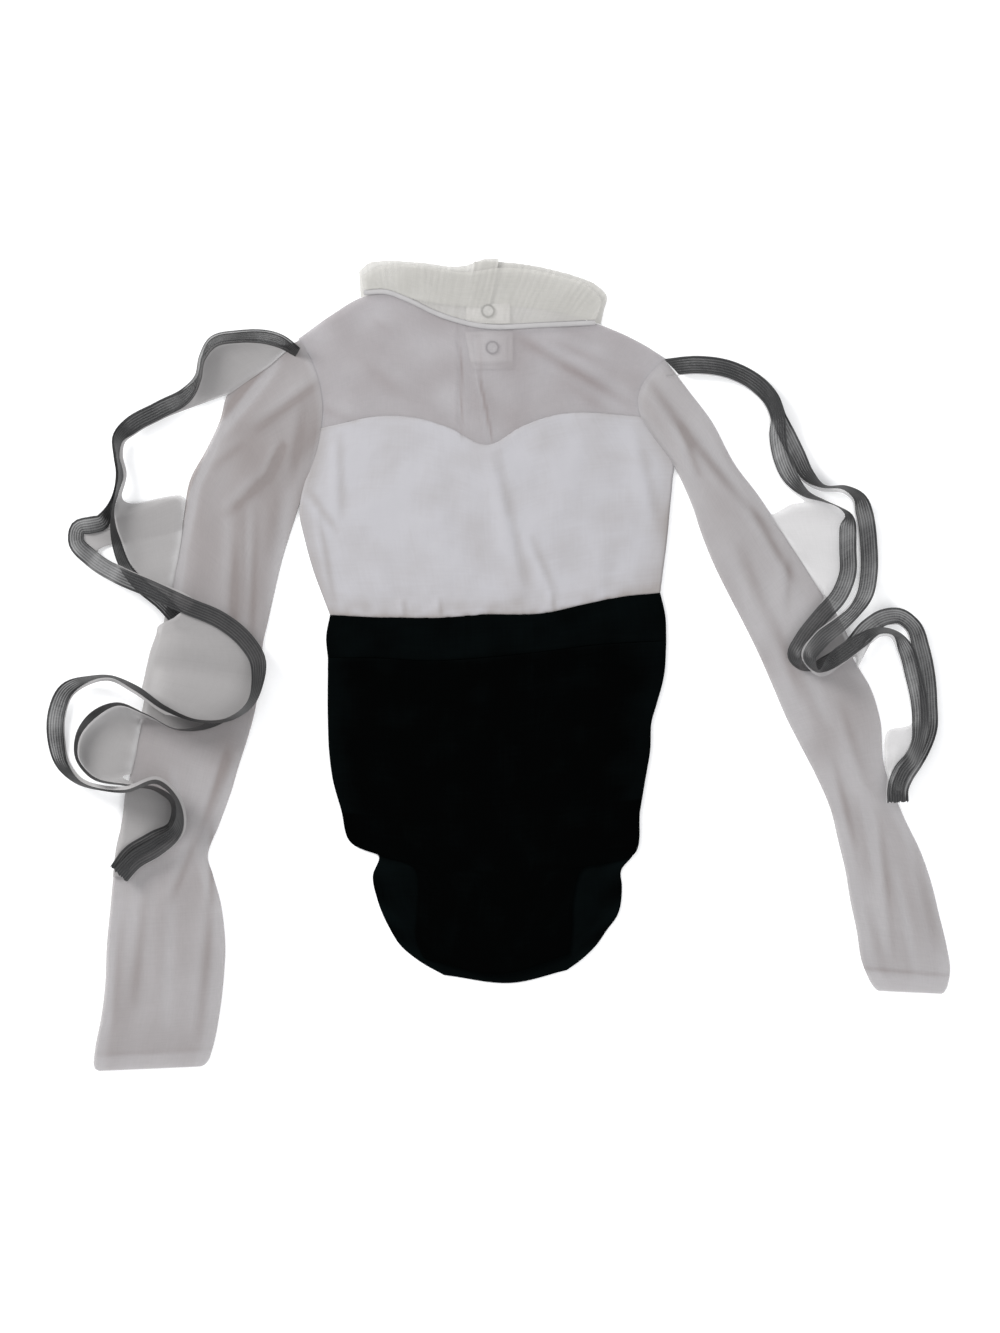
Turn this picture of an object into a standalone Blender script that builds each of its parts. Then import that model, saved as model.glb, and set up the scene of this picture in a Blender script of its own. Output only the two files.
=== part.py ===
"""A long-sleeved leotard with a two-layer flounce on each sleeve, laid flat on its back.

The frame has +Z up from the surface, +Y towards the collar and +X towards the left sleeve
of the wearer. The origin is under the middle of the garment, on the surface.
Tables are in millimetres, and the meshes are made in metres.
"""

import math
from collections import namedtuple

import bmesh
import bpy
import numpy as np

# Driving dimensions, in millimetres
MM = 0.001
KNIT = 1.4
ORGANZA = 1.0
SEAM_GAP = 0.3
BRAID_WIDTH = 15.5
BRAID_WALL = 1.0
SNAP_WIDTH = 12.4
SNAP_WALL = 1.4
BINDING_WIDTH = 4.5
GATHERS_ACROSS_FRONT = 34
GATHERS_ACROSS_HALF_BACK = 16

# How the layers of the body lie: a front piece rests on the back one at its sides, and bows
# up to its crown between. Body pieces stop short of the sleeve's seam by the inset.
LAYER_REST = KNIT + SEAM_GAP
FRONT_HIGH = 4.6
CROWN_POWER = 0.7
BODY_INSET = 1.0
HALF_GAP = SEAM_GAP / 2

# The share of the way down each armhole, left and right, at which white knit begins
FRONT_SEAM_SHARES = (0.585, 0.565)
BACK_SEAM_SHARES = (0.76, 0.9)

# Cells across the body's pieces
FRONT_COLUMNS = 16
BACK_COLUMNS = 8
YOKE_HALF_ROWS = 8

# Outlines of the body's seams, as (x, y) through which a smooth line runs. The yoke, the
# sweetheart line and the sides of the bodice begin and end on the armholes.
SHOULDER_LEFT = [(-150, 315), (-122, 331)]
SHOULDER_RIGHT = [(88, 307), (102, 302), (131, 288)]
NECK_FRONT = [(-122, 331), (-101, 334.5), (-84, 328.5), (-53, 314), (-22, 305), (46, 305), (88, 307)]
NECK_BACK_LEFT = [(-101, 334.5), (-80, 331), (-50, 326)]
NECK_BACK_RIGHT = [(10, 323.5), (46, 320)]
SWEETHEART = [
    (-138, 218), (-115, 223), (-79, 223), (-46, 214), (-10, 198),
    (22, 215), (57, 226), (82, 227), (109, 225),
]
WAIST_TOP = [
    (-151.5, 45), (-93, 42.5), (-55, 42.5), (-17.5, 45), (45.5, 47.5), (74, 54), (109, 61), (145.5, 65),
]
WAIST_SEAM = [(-153.5, 6.5), (-99, 5.5), (-78, 4), (-5, 7), (33, 11), (90, 18), (151, 21.5)]
SIDE_SEAM_LEFT = [(-176.5, 139.5), (-171.5, 112.5), (-164, 85.5), (-154, 58.5), (-151.5, 45)]
SIDE_SEAM_RIGHT = [(154, 166.5), (151.5, 139.5), (149, 112.5), (145.5, 85.5), (145.5, 65)]
WAIST_LEFT = [(-151.5, 45), (-155, 25), (-153.5, 6.5)]
WAIST_RIGHT = [(145.5, 65), (150, 45), (151, 21.5)]
HIP_LEFT = [
    (-153.5, 6.5), (-153.5, -49.5), (-152.5, -76.5), (-149, -103.5), (-141.5, -130.5), (-133.5, -159),
]
HIP_RIGHT = [
    (151, 21.5), (149, -9), (142, -36), (138, -49.5), (136.5, -76.5), (132, -103.5), (127.5, -130.5),
    (121, -171),
]
FRONT_LEG_LEFT = [(-107, -171), (-76, -183), (-73, -220), (-74, -247), (-67, -264)]
FRONT_LEG_RIGHT = [(100, -177.5), (76, -183), (67, -211), (66, -238), (64, -260)]
BACK_LEG_LEFT = [
    (-107.5, -173), (-113, -189), (-109, -211), (-99, -235), (-88.5, -252), (-72.5, -265.5), (-49, -279),
]
BACK_LEG_RIGHT = [
    (110, -186), (111, -198), (107, -225), (97.5, -238.5), (88, -252), (74, -265.5), (61.5, -274.5),
]
FRONT_CROTCH = [(-67, -264), (0, -278), (64, -260)]
BACK_CROTCH = [(-49, -279), (13, -286), (61.5, -274.5)]
SLIT_LEFT = [(-37.5, 324), (-37.5, 270), (-37, 213), (-36.5, 191)]
SLIT_RIGHT = [(-25.5, 324), (-21, 271), (-18.5, 252), (-12, 231), (-5, 191)]

# Collar: the free edge of the front ruffle, and of the two halves of the back one
COLLAR_FRONT_EDGE = [
    (-124, 350), (-103, 359), (-71, 359), (-31, 353), (0, 357), (55, 350), (80, 341), (92, 328),
    (89, 314),
]
COLLAR_BACK_LEFT_EDGE = [
    (-125.5, 354), (-116.5, 361.5), (-103, 363.5), (-71, 362), (-31, 359), (-12, 365), (0.5, 365.5),
]
COLLAR_BACK_RIGHT_EDGE = [
    (-22, 363), (-5, 363), (21, 361), (55.5, 354), (72.5, 349), (88, 342), (97.5, 331), (95, 320),
]
COLLAR_BACK_LEFT_SEAM = [(-124, 334), (-101, 337), (-80, 333), (-50, 328), (-22, 325.5), (-8, 325.5)]
COLLAR_BACK_RIGHT_SEAM = [(-24, 326), (10, 326), (46, 322.5), (92, 310)]
BINDING_LINE = [(-121, 335), (-101, 335.5), (-84, 329.5), (-53, 315), (-22, 306), (46, 306), (87, 308)]

# The shares across the front yoke between which the binding runs, and its height over it
BINDING_REACH = (0.18, 0.81)
BINDING_REST = 0.4
BINDING_CELLS = 24

# Each ruffle's lowest height, and how much higher its gathers are at its seam and, on top of
# that, at its free edge
COLLAR_LOW = {"collar_back_right": 0.0, "collar_back_left": 2.8, "collar_front": 5.7}
GATHER_HEIGHT = 0.5
GATHER_OPENING = 1.0

# Sleeves: a row for each ring, its outer and inner edge and how far its middle bows
# towards the body, and the height of its crown over the surface. A ring's cross section
# turns up at its corners, and has points at these shares of its width on top.
Ring = namedtuple("Ring", "outer_x outer_y inner_x inner_y bow crown")
SLEEVE_LEFT = [
    Ring(-178.5, 293.5, -175, 155.5, 18, 4.2), Ring(-205.5, 270, -179, 144, 9, 5.0),
    Ring(-244, 243, -183, 131.5, 3, 5.4), Ring(-250.5, 220.5, -188.5, 114.5, 0, 5.2),
    Ring(-263, 193.5, -194, 96.5, 0, 5.0), Ring(-277.5, 166.5, -198.5, 78.5, 0, 5.2),
    Ring(-283, 135, -203, 58.5, 0, 5.4), Ring(-286.5, 108, -207.5, 38.5, 0, 5.0),
    Ring(-293, 76.5, -212, 18, 0, 4.8), Ring(-298.5, 45, -214.5, -13.5, 0, 5.0),
    Ring(-306.5, 13.5, -219, -40.5, 0, 5.0), Ring(-316.5, -22.5, -225.5, -65, 0, 5.2),
    Ring(-322.5, -58.5, -233.5, -90, 0, 5.0), Ring(-331.5, -99, -241.5, -117, 0, 4.8),
    Ring(-337, -135, -251.5, -144, 0, 5.2), Ring(-344.5, -166.5, -261.5, -171, 0, 5.6),
    Ring(-347, -193.5, -257, -189, 0, 5.6), Ring(-349.5, -220.5, -250, -214, 0, 5.2),
    Ring(-352.5, -252, -246, -247.5, 0, 4.8), Ring(-354, -288, -247, -279, 0, 4.6),
    Ring(-358, -319.5, -250.5, -310.5, 0, 4.4), Ring(-362.5, -342, -255, -336, 0, 4.2),
    Ring(-365.5, -365.5, -262, -361, 0, 4.0),
]
SLEEVE_RIGHT = [
    Ring(149, 275.5, 155.5, 183, -26, 4.2), Ring(170.5, 247.5, 164, 167, -16, 5.4),
    Ring(191, 220.5, 174, 144, -7, 5.6), Ring(213, 180, 183, 117, 0, 5.6),
    Ring(233.5, 153, 192, 94.5, 0, 5.2), Ring(257, 117, 205, 67.5, 0, 5.2),
    Ring(278.5, 84, 219, 40.5, 0, 5.0), Ring(301, 47.5, 232.5, 13.5, 0, 5.0),
    Ring(320, 4.5, 246, -17, 0, 4.8), Ring(335.5, -22.5, 259, -47.5, 0, 5.0),
    Ring(343.5, -49.5, 271.5, -72, 0, 5.0), Ring(347, -90, 285, -98, 0, 4.8),
    Ring(364, -135, 299, -130.5, 0, 5.0), Ring(381, -171, 305.5, -157.5, 0, 5.0),
    Ring(390, -198, 312, -184.5, 0, 4.8), Ring(396.5, -225, 316.5, -211.5, 0, 4.6),
    Ring(403, -252, 322.5, -240, 0, 4.4), Ring(406.4, -274.5, 327, -267, 0, 4.2),
    Ring(402.5, -296, 338, -293, 0, 4.0),
]
SLEEVE_CORNER = 2.6
SLEEVE_FLAT = 2 * ORGANZA + SEAM_GAP
SLEEVE_TOP_SHARES = (0.09, 0.25, 0.4, 0.55, 0.7, 0.85)
SLEEVE_BELOW_SHARES = (0.33, 0.67)

# Flounces: a row for each bend of the braid. Where the cloth hangs free of the sleeve's
# seam, the seam's place is the braid's own. The lean is 0 for braid that lies flat and
# 90 for braid that stands on edge. The cloth is the share of the way from the braid back to
# the seam that is there.
Bend = namedtuple("Bend", "seam_x seam_y edge_x edge_y rise lean cloth", defaults=(1.0,))
FLOUNCE_LEFT_UPPER = [
    Bend(-191, 286, -195, 289, 11, 50), Bend(-211, 268, -234, 294, 14, 55),
    Bend(-228.5, 256, -256, 289, 16, 60), Bend(-238.5, 249, -265, 275, 16, 78),
    Bend(-246, 244, -269, 257, 16, 76), Bend(-257, 240, -279, 243, 14, 45),
    Bend(-304, 229, -305, 229, 12, 8), Bend(-330, 215, -330, 215, 12, 20),
    Bend(-341, 203, -341, 203, 14, 60), Bend(-341.5, 189, -342, 189, 15, 82),
    Bend(-339, 171, -339, 171, 16, 76), Bend(-343, 153, -343, 153, 16, 82),
    Bend(-330, 146, -346, 140, 17, 84), Bend(-287, 153, -346, 124, 17, 72),
    Bend(-287, 130, -343, 110, 15, 58), Bend(-289.5, 106, -335, 88, 12, 50),
    Bend(-293.5, 84, -322, 72, 12, 40), Bend(-296.5, 66, -303, 57, 12, 30),
    Bend(-300.5, 46, -283, 38, 12, 20), Bend(-304, 30, -258, 28, 11, 16),
    Bend(-309, 12, -236, 9, 11, 16), Bend(-315, -6, -229, -8, 11, 16),
    Bend(-318.5, -19, -236, -32, 12, 26), Bend(-320, -30, -256, -52, 16, 62),
    Bend(-321.5, -40, -287, -58, 20, 84), Bend(-323.5, -50, -317, -44, 22, 84),
    Bend(-325.5, -60, -342, -35, 20, 78), Bend(-327.5, -70, -364, -45, 14, 66),
    Bend(-329, -80, -378, -64, 12, 76), Bend(-331, -88, -379, -83, 13, 82),
    Bend(-333, -97, -366, -100, 17, 82), Bend(-335, -107, -333, -108, 19, 84),
    Bend(-337, -117, -306, -112, 18, 76), Bend(-338.5, -130, -292, -123, 16, 70),
    Bend(-340.5, -143, -293, -145, 14, 50), Bend(-343, -159, -312, -158, 11, 8),
    Bend(-346, -174, -331, -170, 10, 6), Bend(-348.5, -190, -343, -186, 9, 6),
]
FLOUNCE_LEFT_LOWER = [
    Bend(-350, 138, -353, 134, 8, 46), Bend(-302, 148, -356, 129, 5, 24),
    Bend(-288, 142, -366, 126, 5, 10), Bend(-287, 132, -378, 123, 5, 24),
    Bend(-287, 122, -380, 112, 5, 24), Bend(-366, 96, -366, 96, 6, 0), Bend(-341, 81, -342, 81, 23, 0),
    Bend(-311, 68, -312, 68, 26, 0), Bend(-283, 54, -279, 53, 27, 0),
    Bend(-302, 41, -249, 40, 26, 0, 0.35), Bend(-307, 26, -227, 22, 25, 8),
    Bend(-312, 13, -216, 4, 25, 20), Bend(-315, 1, -216, -15, 25, 46), Bend(-317, -9, -222, -34, 29, 64),
    Bend(-319, -19, -240, -48, 33, 76), Bend(-321, -30, -269, -50, 37, 80, 0.35),
    Bend(-298, -39, -298, -39, 38, 72), Bend(-326, -20, -326, -20, 34, 70),
    Bend(-350, -10, -350, -10, 24, 80), Bend(-367, -12, -367, -12, 14, 72),
    Bend(-389, -23, -389, -23, 9, 30), Bend(-397.5, -43, -397.5, -43, 7, 10),
    Bend(-398, -68, -398, -68, 7, 20), Bend(-392, -90, -392, -90, 8, 50),
    Bend(-378, -105, -378, -105, 14, 76), Bend(-355, -112, -355, -112, 24, 84),
    Bend(-334, -113, -334, -113, 38, 80), Bend(-305, -105, -305, -105, 36, 76),
    Bend(-288, -122, -288, -122, 30, 78), Bend(-288, -147, -288, -147, 24, 50),
    Bend(-307, -164, -307, -164, 19, 10), Bend(-327, -176, -327, -176, 17, 6),
    Bend(-340, -190, -340, -190, 16, 6),
]
FLOUNCE_RIGHT_UPPER = [
    Bend(153, 269, 153, 269, 11, 0), Bend(179, 270, 179, 270, 12, 0), Bend(210, 265, 210, 265, 12, 0),
    Bend(233, 252, 233, 252, 12, 10), Bend(245, 238, 245, 238, 12, 30), Bend(251, 222, 251, 222, 12, 34),
    Bend(251, 206, 251, 206, 12, 10), Bend(256, 182, 256, 182, 12, 0), Bend(265, 165, 265, 165, 13, 36),
    Bend(276, 154, 276, 154, 15, 66), Bend(266, 146, 293, 147, 17, 84), Bend(252, 138, 307, 141, 17, 86),
    Bend(246, 135, 314, 135, 15, 70), Bend(256, 123, 314, 122, 11, 10), Bend(265, 109, 314, 104, 10, 0),
    Bend(276, 93, 314, 83, 10, 0), Bend(287, 75, 307, 64, 11, 6), Bend(298, 59, 289, 43, 13, 10),
    Bend(307, 43, 273, 22, 14, 10), Bend(314, 30, 266, 8, 14, 36), Bend(319, 20, 271, -3, 15, 80),
    Bend(322, 13, 293, 2, 14, 40), Bend(324, 7, 315, 15, 14, 20), Bend(327, 1, 332, 34, 14, 10),
    Bend(343, 34, 347, 43, 11, 12), Bend(361, 44, 361, 44, 8, 26), Bend(373, 35, 373, 35, 7, 28),
    Bend(380, 15, 380, 15, 6, 8), Bend(385, -9, 385, -9, 6, 0), Bend(387, -36, 387, -36, 6, 0),
    Bend(387, -57, 387, -57, 6, 10), Bend(382, -73, 382, -73, 6, 24), Bend(374, -87, 374, -87, 6, 10),
    Bend(366, -99, 366, -99, 8, 0), Bend(361, -111, 361, -111, 9, 0), Bend(361, -124, 361, -124, 9, 0),
]
FLOUNCE_RIGHT_LOWER = [
    Bend(261, 204, 261, 204, 7, 10), Bend(269, 188, 269, 188, 7, 20), Bend(278, 171, 278, 171, 8, 40),
    Bend(291, 161, 291, 161, 12, 78), Bend(312, 159, 312, 159, 13, 74), Bend(324, 151, 324, 151, 10, 50),
    Bend(329, 137, 329, 137, 7, 6), Bend(333, 108, 333, 108, 6, 0), Bend(333, 81, 333, 81, 8, 0),
    Bend(329, 63, 329, 63, 16, 20), Bend(319, 48, 319, 48, 24, 40), Bend(306, 36, 306, 36, 27, 30),
    Bend(289, 22, 289, 22, 27, 20), Bend(279, 6, 279, 6, 30, 44), Bend(285, -5, 285, -5, 34, 80),
    Bend(306, 9, 306, 9, 27, 16), Bend(325, 22, 325, 22, 26, 30), Bend(343, 31, 343, 31, 24, 66),
    Bend(355, 29, 355, 29, 20, 72), Bend(366, 14, 366, 14, 14, 30), Bend(373, -9, 373, -9, 12, 10),
    Bend(378, -32, 378, -32, 12, 10), Bend(374, -52, 379, -51, 12, 20), Bend(353, -58, 377, -69, 12, 40),
    Bend(350, -72, 371, -84, 12, 30), Bend(350, -90, 362, -96, 14, 6), Bend(356, -107, 357, -111, 15, 6),
    Bend(357, -124, 357, -124, 15, 6),
]

# Braid that runs under another: how many bends of each sleeve's do, and how far below or
# outside the other it lies
UNDER_LEFT_BENDS = 12
UNDER_RIGHT_BENDS = 6
UNDER_DROP = 4.6
UNDER_SHIFT = 2.6

# Cloth by braid that is free of the sleeve is a strip of this width, and only this share of it
# shows. It hangs this far down, and a bend counts as free if its seam is nearer than the gap.
FREE_WIDTH = 10.0
FREE_SHARE = 0.35
FREE_DROP = 3.0
FREE_GAP = 5.0

# The braid's edge over its cloth, and its least height over the surface
BRAID_DROP = 1.4
BRAID_REST = 2.6
STEEPEST_LEAN = 88.0
SAMPLES_PER_BEND = 2

# Cloth whose braid comes back over the sleeve first curls outwards: it begins to where the
# braid's middle is this far out from the seam, and is at its fullest this much further in.
CURL_BEGINS = 22.0
CURL_SPAN = 34.0
CURL_RETURN = 0.6

# How each layer leaves its sleeve: the direction outwards, its seam's height, how far its
# cloth curls out and up, and its rows of cells
Hang = namedtuple("Hang", "outward seam_height curl_reach curl_lift rows")
LEFT_OUT = (-0.97, 0.2)
RIGHT_OUT = (0.9, 0.4)
HANGS = {
    "left_upper": Hang(LEFT_OUT, 3.2, 5, 7, 3),
    "left_lower": Hang(LEFT_OUT, 1.4, 11, 13, 3),
    "right_upper": Hang(RIGHT_OUT, 3.2, 5, 7, 2),
    "right_lower": Hang(RIGHT_OUT, 1.4, 9, 13, 2),
}

# Straps of the back opening, by their corners: upper left, upper right, lower left, lower
# right. The snaps on them are turned from half a section, in shares of radius and height.
TABS = {
    "tab_upper": [(-29, 325), (10.5, 325), (-29, 307), (10.5, 307)],
    "tab_lower": [(-30, 299.5), (13, 302), (-24, 266), (13, 266)],
}
TAB_LOW = ORGANZA + SEAM_GAP
SNAP_PLACES = {"snap_upper": (-9.5, 318.5), "snap_lower": (-5.5, 285.5)}
SNAP_SECTION = [(0, 0.6), (0.3, 0.6), (0.45, 1.0), (0.8, 1.0), (1.0, 0.5), (1.0, 0.0), (0, 0)]
SNAP_STEPS = 20


def clear_scene():
    for obj in list(bpy.data.objects):
        bpy.data.objects.remove(obj, do_unlink=True)


def material(name, colour, roughness, metallic=0.0):
    made = bpy.data.materials.new(name)
    made.use_nodes = True
    shader = made.node_tree.nodes["Principled BSDF"]
    shader.inputs["Base Color"].default_value = (*colour, 1.0)
    shader.inputs["Roughness"].default_value = roughness
    shader.inputs["Metallic"].default_value = metallic
    return made


def add(name, mesh, finish, collection):
    mesh.materials.append(finish)
    mesh.shade_smooth()
    obj = bpy.data.objects.new(name, mesh)
    collection.objects.link(obj)
    return obj


def curve_through(points):
    """A smooth curve through rows of numbers, as a function of a share of its plan length.

    The plan is the first two columns, or the edge of a Bend.
    """
    rows = np.array(points, float)
    plan = rows[:, 2:4] if rows.shape[1] > 3 else rows[:, :2]
    steps = np.linalg.norm(np.diff(plan, axis=0), axis=1)
    stations = np.concatenate([[0.0], np.cumsum(steps)]) / steps.sum()
    gaps = np.diff(stations)
    slopes = np.diff(rows, axis=0) / gaps[:, None]
    tangents = np.vstack([slopes[:1], slopes[-1:]]) if len(rows) == 2 else np.empty_like(rows)
    if len(rows) > 2:
        weight = (gaps[:-1] / (gaps[:-1] + gaps[1:]))[:, None]
        tangents[0] = slopes[0]
        tangents[-1] = slopes[-1]
        tangents[1:-1] = slopes[:-1] * (1 - weight) + slopes[1:] * weight

    def at(share):
        share = min(max(share, 0.0), 1.0)
        i = min(int(np.searchsorted(stations, share, side="right")) - 1, len(gaps) - 1)
        t = (share - stations[i]) / gaps[i]
        start = (2 * t**3 - 3 * t**2 + 1) * rows[i] + (t**3 - 2 * t**2 + t) * gaps[i] * tangents[i]
        end = (3 * t**2 - 2 * t**3) * rows[i + 1] + (t**3 - t**2) * gaps[i] * tangents[i + 1]
        return start + end

    return at


def chain(*outlines):
    """One outline from several that follow each other, without the point that two share."""
    joined = list(outlines[0])
    for outline in outlines[1:]:
        joined += [point for point in outline if point != joined[-1]]
    return joined


def moved(points, dx=0.0, dy=0.0):
    return [(x + dx, y + dy) for x, y in points]


def on_line(x, start, end):
    """The point at x on the straight line between two points."""
    share = (x - start[0]) / (end[0] - start[0])
    return x, start[1] + (end[1] - start[1]) * share


def patch(top, bottom, left, right):
    """The plan of a panel from its four edges, as a function of shares across and down."""
    edges = [curve_through(points) for points in (top, bottom, left, right)]

    def at(u, v):
        across = (1 - v) * edges[0](u) + v * edges[1](u)
        down = (1 - u) * edges[2](v) + u * edges[3](v)
        upper = (1 - u) * edges[0](0) + u * edges[0](1)
        lower = (1 - u) * edges[1](0) + u * edges[1](1)
        return across + down - (1 - v) * upper - v * lower

    return at


def bent_grid(place, columns, rows):
    """A grid whose points place() moves, from shares across and down."""
    grid = bmesh.new()
    bmesh.ops.create_grid(grid, x_segments=columns, y_segments=rows, size=1.0)
    for vertex in grid.verts:
        u = (1 + vertex.co.x) / 2
        v = (1 - vertex.co.y) / 2
        vertex.co = [value * MM for value in place(u, v)]
    return grid


def ribbon(name, place, columns, rows, wall, finish, collection):
    """A wall of even thickness to both sides of a bent grid."""
    grid = bent_grid(place, columns, rows)
    mesh = bpy.data.meshes.new(name)
    grid.to_mesh(mesh)
    grid.free()
    obj = add(name, mesh, finish, collection)
    solid = obj.modifiers.new("Wall", "SOLIDIFY")
    solid.thickness = wall * MM
    solid.offset = 0


def panel(name, place, columns, rows, wall, finish, collection):
    """A wall whose underside is a bent grid, raised straight up so that its seams stay upright."""
    grid = bent_grid(place, columns, rows)
    raised = bmesh.ops.extrude_face_region(grid, geom=grid.faces[:])
    tops = [item for item in raised["geom"] if isinstance(item, bmesh.types.BMVert)]
    bmesh.ops.translate(grid, vec=(0, 0, wall * MM), verts=tops)
    bmesh.ops.recalc_face_normals(grid, faces=grid.faces)
    mesh = bpy.data.meshes.new(name)
    grid.to_mesh(mesh)
    grid.free()
    add(name, mesh, finish, collection)


def bow_shape(share):
    """How an armhole seam curves towards the body, most in its upper half."""
    return math.sin(math.pi * share) * (1.3 - 0.6 * share)


def armhole(rings, start, end, shift):
    """Points of the armhole seam between two shares of the sleeve's first ring."""
    ring = rings[0]
    points = []
    for step in range(7):
        share = start + (end - start) * step / 6
        x = ring.outer_x + (ring.inner_x - ring.outer_x) * share
        y = ring.outer_y + (ring.inner_y - ring.outer_y) * share
        points.append((x + ring.bow * bow_shape(share) + shift, y))
    return points


# Folds of the body: a row for each, from one end to the other, with its half width and height
Fold = namedtuple("Fold", "x1 y1 x2 y2 spread height")
BODY_FOLDS = [
    Fold(-9, 195, 22, 60, 9, 1.6), Fold(24, 118, 50, 56, 7, 1.0), Fold(-148, 210, -146, 130, 8, 1.4),
    Fold(-166, 140, -150, 50, 6, 1.2), Fold(118, 218, 142, 110, 8, 1.4), Fold(-88, 60, -86, 40, 5, 0.8),
    Fold(-55, 62, -54, 38, 5, 0.8), Fold(46, 66, 48, 44, 5, 0.8), Fold(20, 300, 105, 244, 9, 1.6),
    Fold(-70, -40, -40, -150, 12, 1.2), Fold(60, -60, 85, -160, 12, 1.2), Fold(0, -150, 30, -220, 8, 1.0),
    Fold(-10, -200, 40, -205, 5, 0.9), Fold(-20, -240, 55, -250, 5, 0.9),
]
LEFT_FOLDS = [
    Fold(-175, 262, -215, 190, 7, 1.0), Fold(-235, 110, -240, 30, 7, 0.9),
    Fold(-270, 150, -280, 60, 6, 0.9), Fold(-262, -130, -300, -190, 6, 0.9),
    Fold(-280, -150, -262, -230, 6, 0.9), Fold(-300, -40, -312, -120, 6, 0.8),
    Fold(-318, -200, -330, -300, 7, 0.8),
]
RIGHT_FOLDS = [
    Fold(140, 262, 199, 178, 7, 1.1), Fold(199, 178, 262, 58, 6, 1.1), Fold(168, 215, 205, 130, 6, 0.8),
    Fold(262, 20, 300, -80, 7, 0.8), Fold(300, -60, 330, -150, 6, 0.8), Fold(340, -120, 370, -230, 7, 0.8),
]


def fold_height(x, y, folds):
    """The height that soft ridges add at a place, each fading out to its sides and ends."""
    height = 0.0
    for fold in folds:
        along = (fold.x2 - fold.x1, fold.y2 - fold.y1)
        length = math.hypot(*along)
        share = ((x - fold.x1) * along[0] + (y - fold.y1) * along[1]) / length**2
        away = abs((x - fold.x1) * along[1] - (y - fold.y1) * along[0]) / length
        if 0 < share < 1:
            height += fold.height * math.sin(math.pi * share) ** 0.5 * math.exp(-((away / fold.spread) ** 2))
    return height


def crown(share):
    """The underside of a front piece: it lies on the back piece at the sides and bows up between."""
    return LAYER_REST + (FRONT_HIGH - LAYER_REST) * math.sin(math.pi * share) ** CROWN_POWER


def front_panel(name, plan, rows, wall, finish, collection):
    """A front piece: crowned, with its folds fading out towards its sides."""

    def place(u, v):
        x, y = plan(u, v)
        return x, y, crown(u) + fold_height(x, y, BODY_FOLDS) * math.sin(math.pi * u) ** 0.3

    panel(name, place, FRONT_COLUMNS, rows, wall, finish, collection)


def back_panel(name, plan, rows, wall, finish, collection):
    panel(name, lambda u, v: (*plan(u, v), 0.0), BACK_COLUMNS, rows, wall, finish, collection)


def front(collection, organza, knit, black):
    """The yoke, bodice, waistband and brief of the front, from the neck down."""
    share_left, share_right = FRONT_SEAM_SHARES
    yoke_left = armhole(SLEEVE_LEFT, 0.0, share_left, BODY_INSET)
    yoke_right = armhole(SLEEVE_RIGHT, 0.0, share_right, -BODY_INSET)
    sweetheart = [yoke_left[-1]] + SWEETHEART + [yoke_right[-1]]
    neck_line = chain([yoke_left[0]], SHOULDER_LEFT, NECK_FRONT, SHOULDER_RIGHT, [yoke_right[0]])
    plan = patch(neck_line, moved(sweetheart, dy=HALF_GAP), yoke_left, yoke_right)
    front_panel("front_yoke", plan, 7, ORGANZA, organza, collection)
    side_left = chain(armhole(SLEEVE_LEFT, share_left, 1.0, BODY_INSET), SIDE_SEAM_LEFT)
    side_right = chain(armhole(SLEEVE_RIGHT, share_right, 1.0, -BODY_INSET), SIDE_SEAM_RIGHT)
    plan = patch(moved(sweetheart, dy=-HALF_GAP), moved(WAIST_TOP, dy=HALF_GAP), side_left, side_right)
    front_panel("front_bodice", plan, 9, KNIT, knit, collection)
    plan = patch(moved(WAIST_TOP, dy=-HALF_GAP), moved(WAIST_SEAM, dy=HALF_GAP), WAIST_LEFT, WAIST_RIGHT)
    front_panel("waistband_front", plan, 2, KNIT, black, collection)
    leg_left = chain(HIP_LEFT, FRONT_LEG_LEFT)
    leg_right = chain(HIP_RIGHT, FRONT_LEG_RIGHT)
    plan = patch(moved(WAIST_SEAM, dy=-HALF_GAP), FRONT_CROTCH, leg_left, leg_right)
    front_panel("brief_front", plan, 11, KNIT, black, collection)


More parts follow.
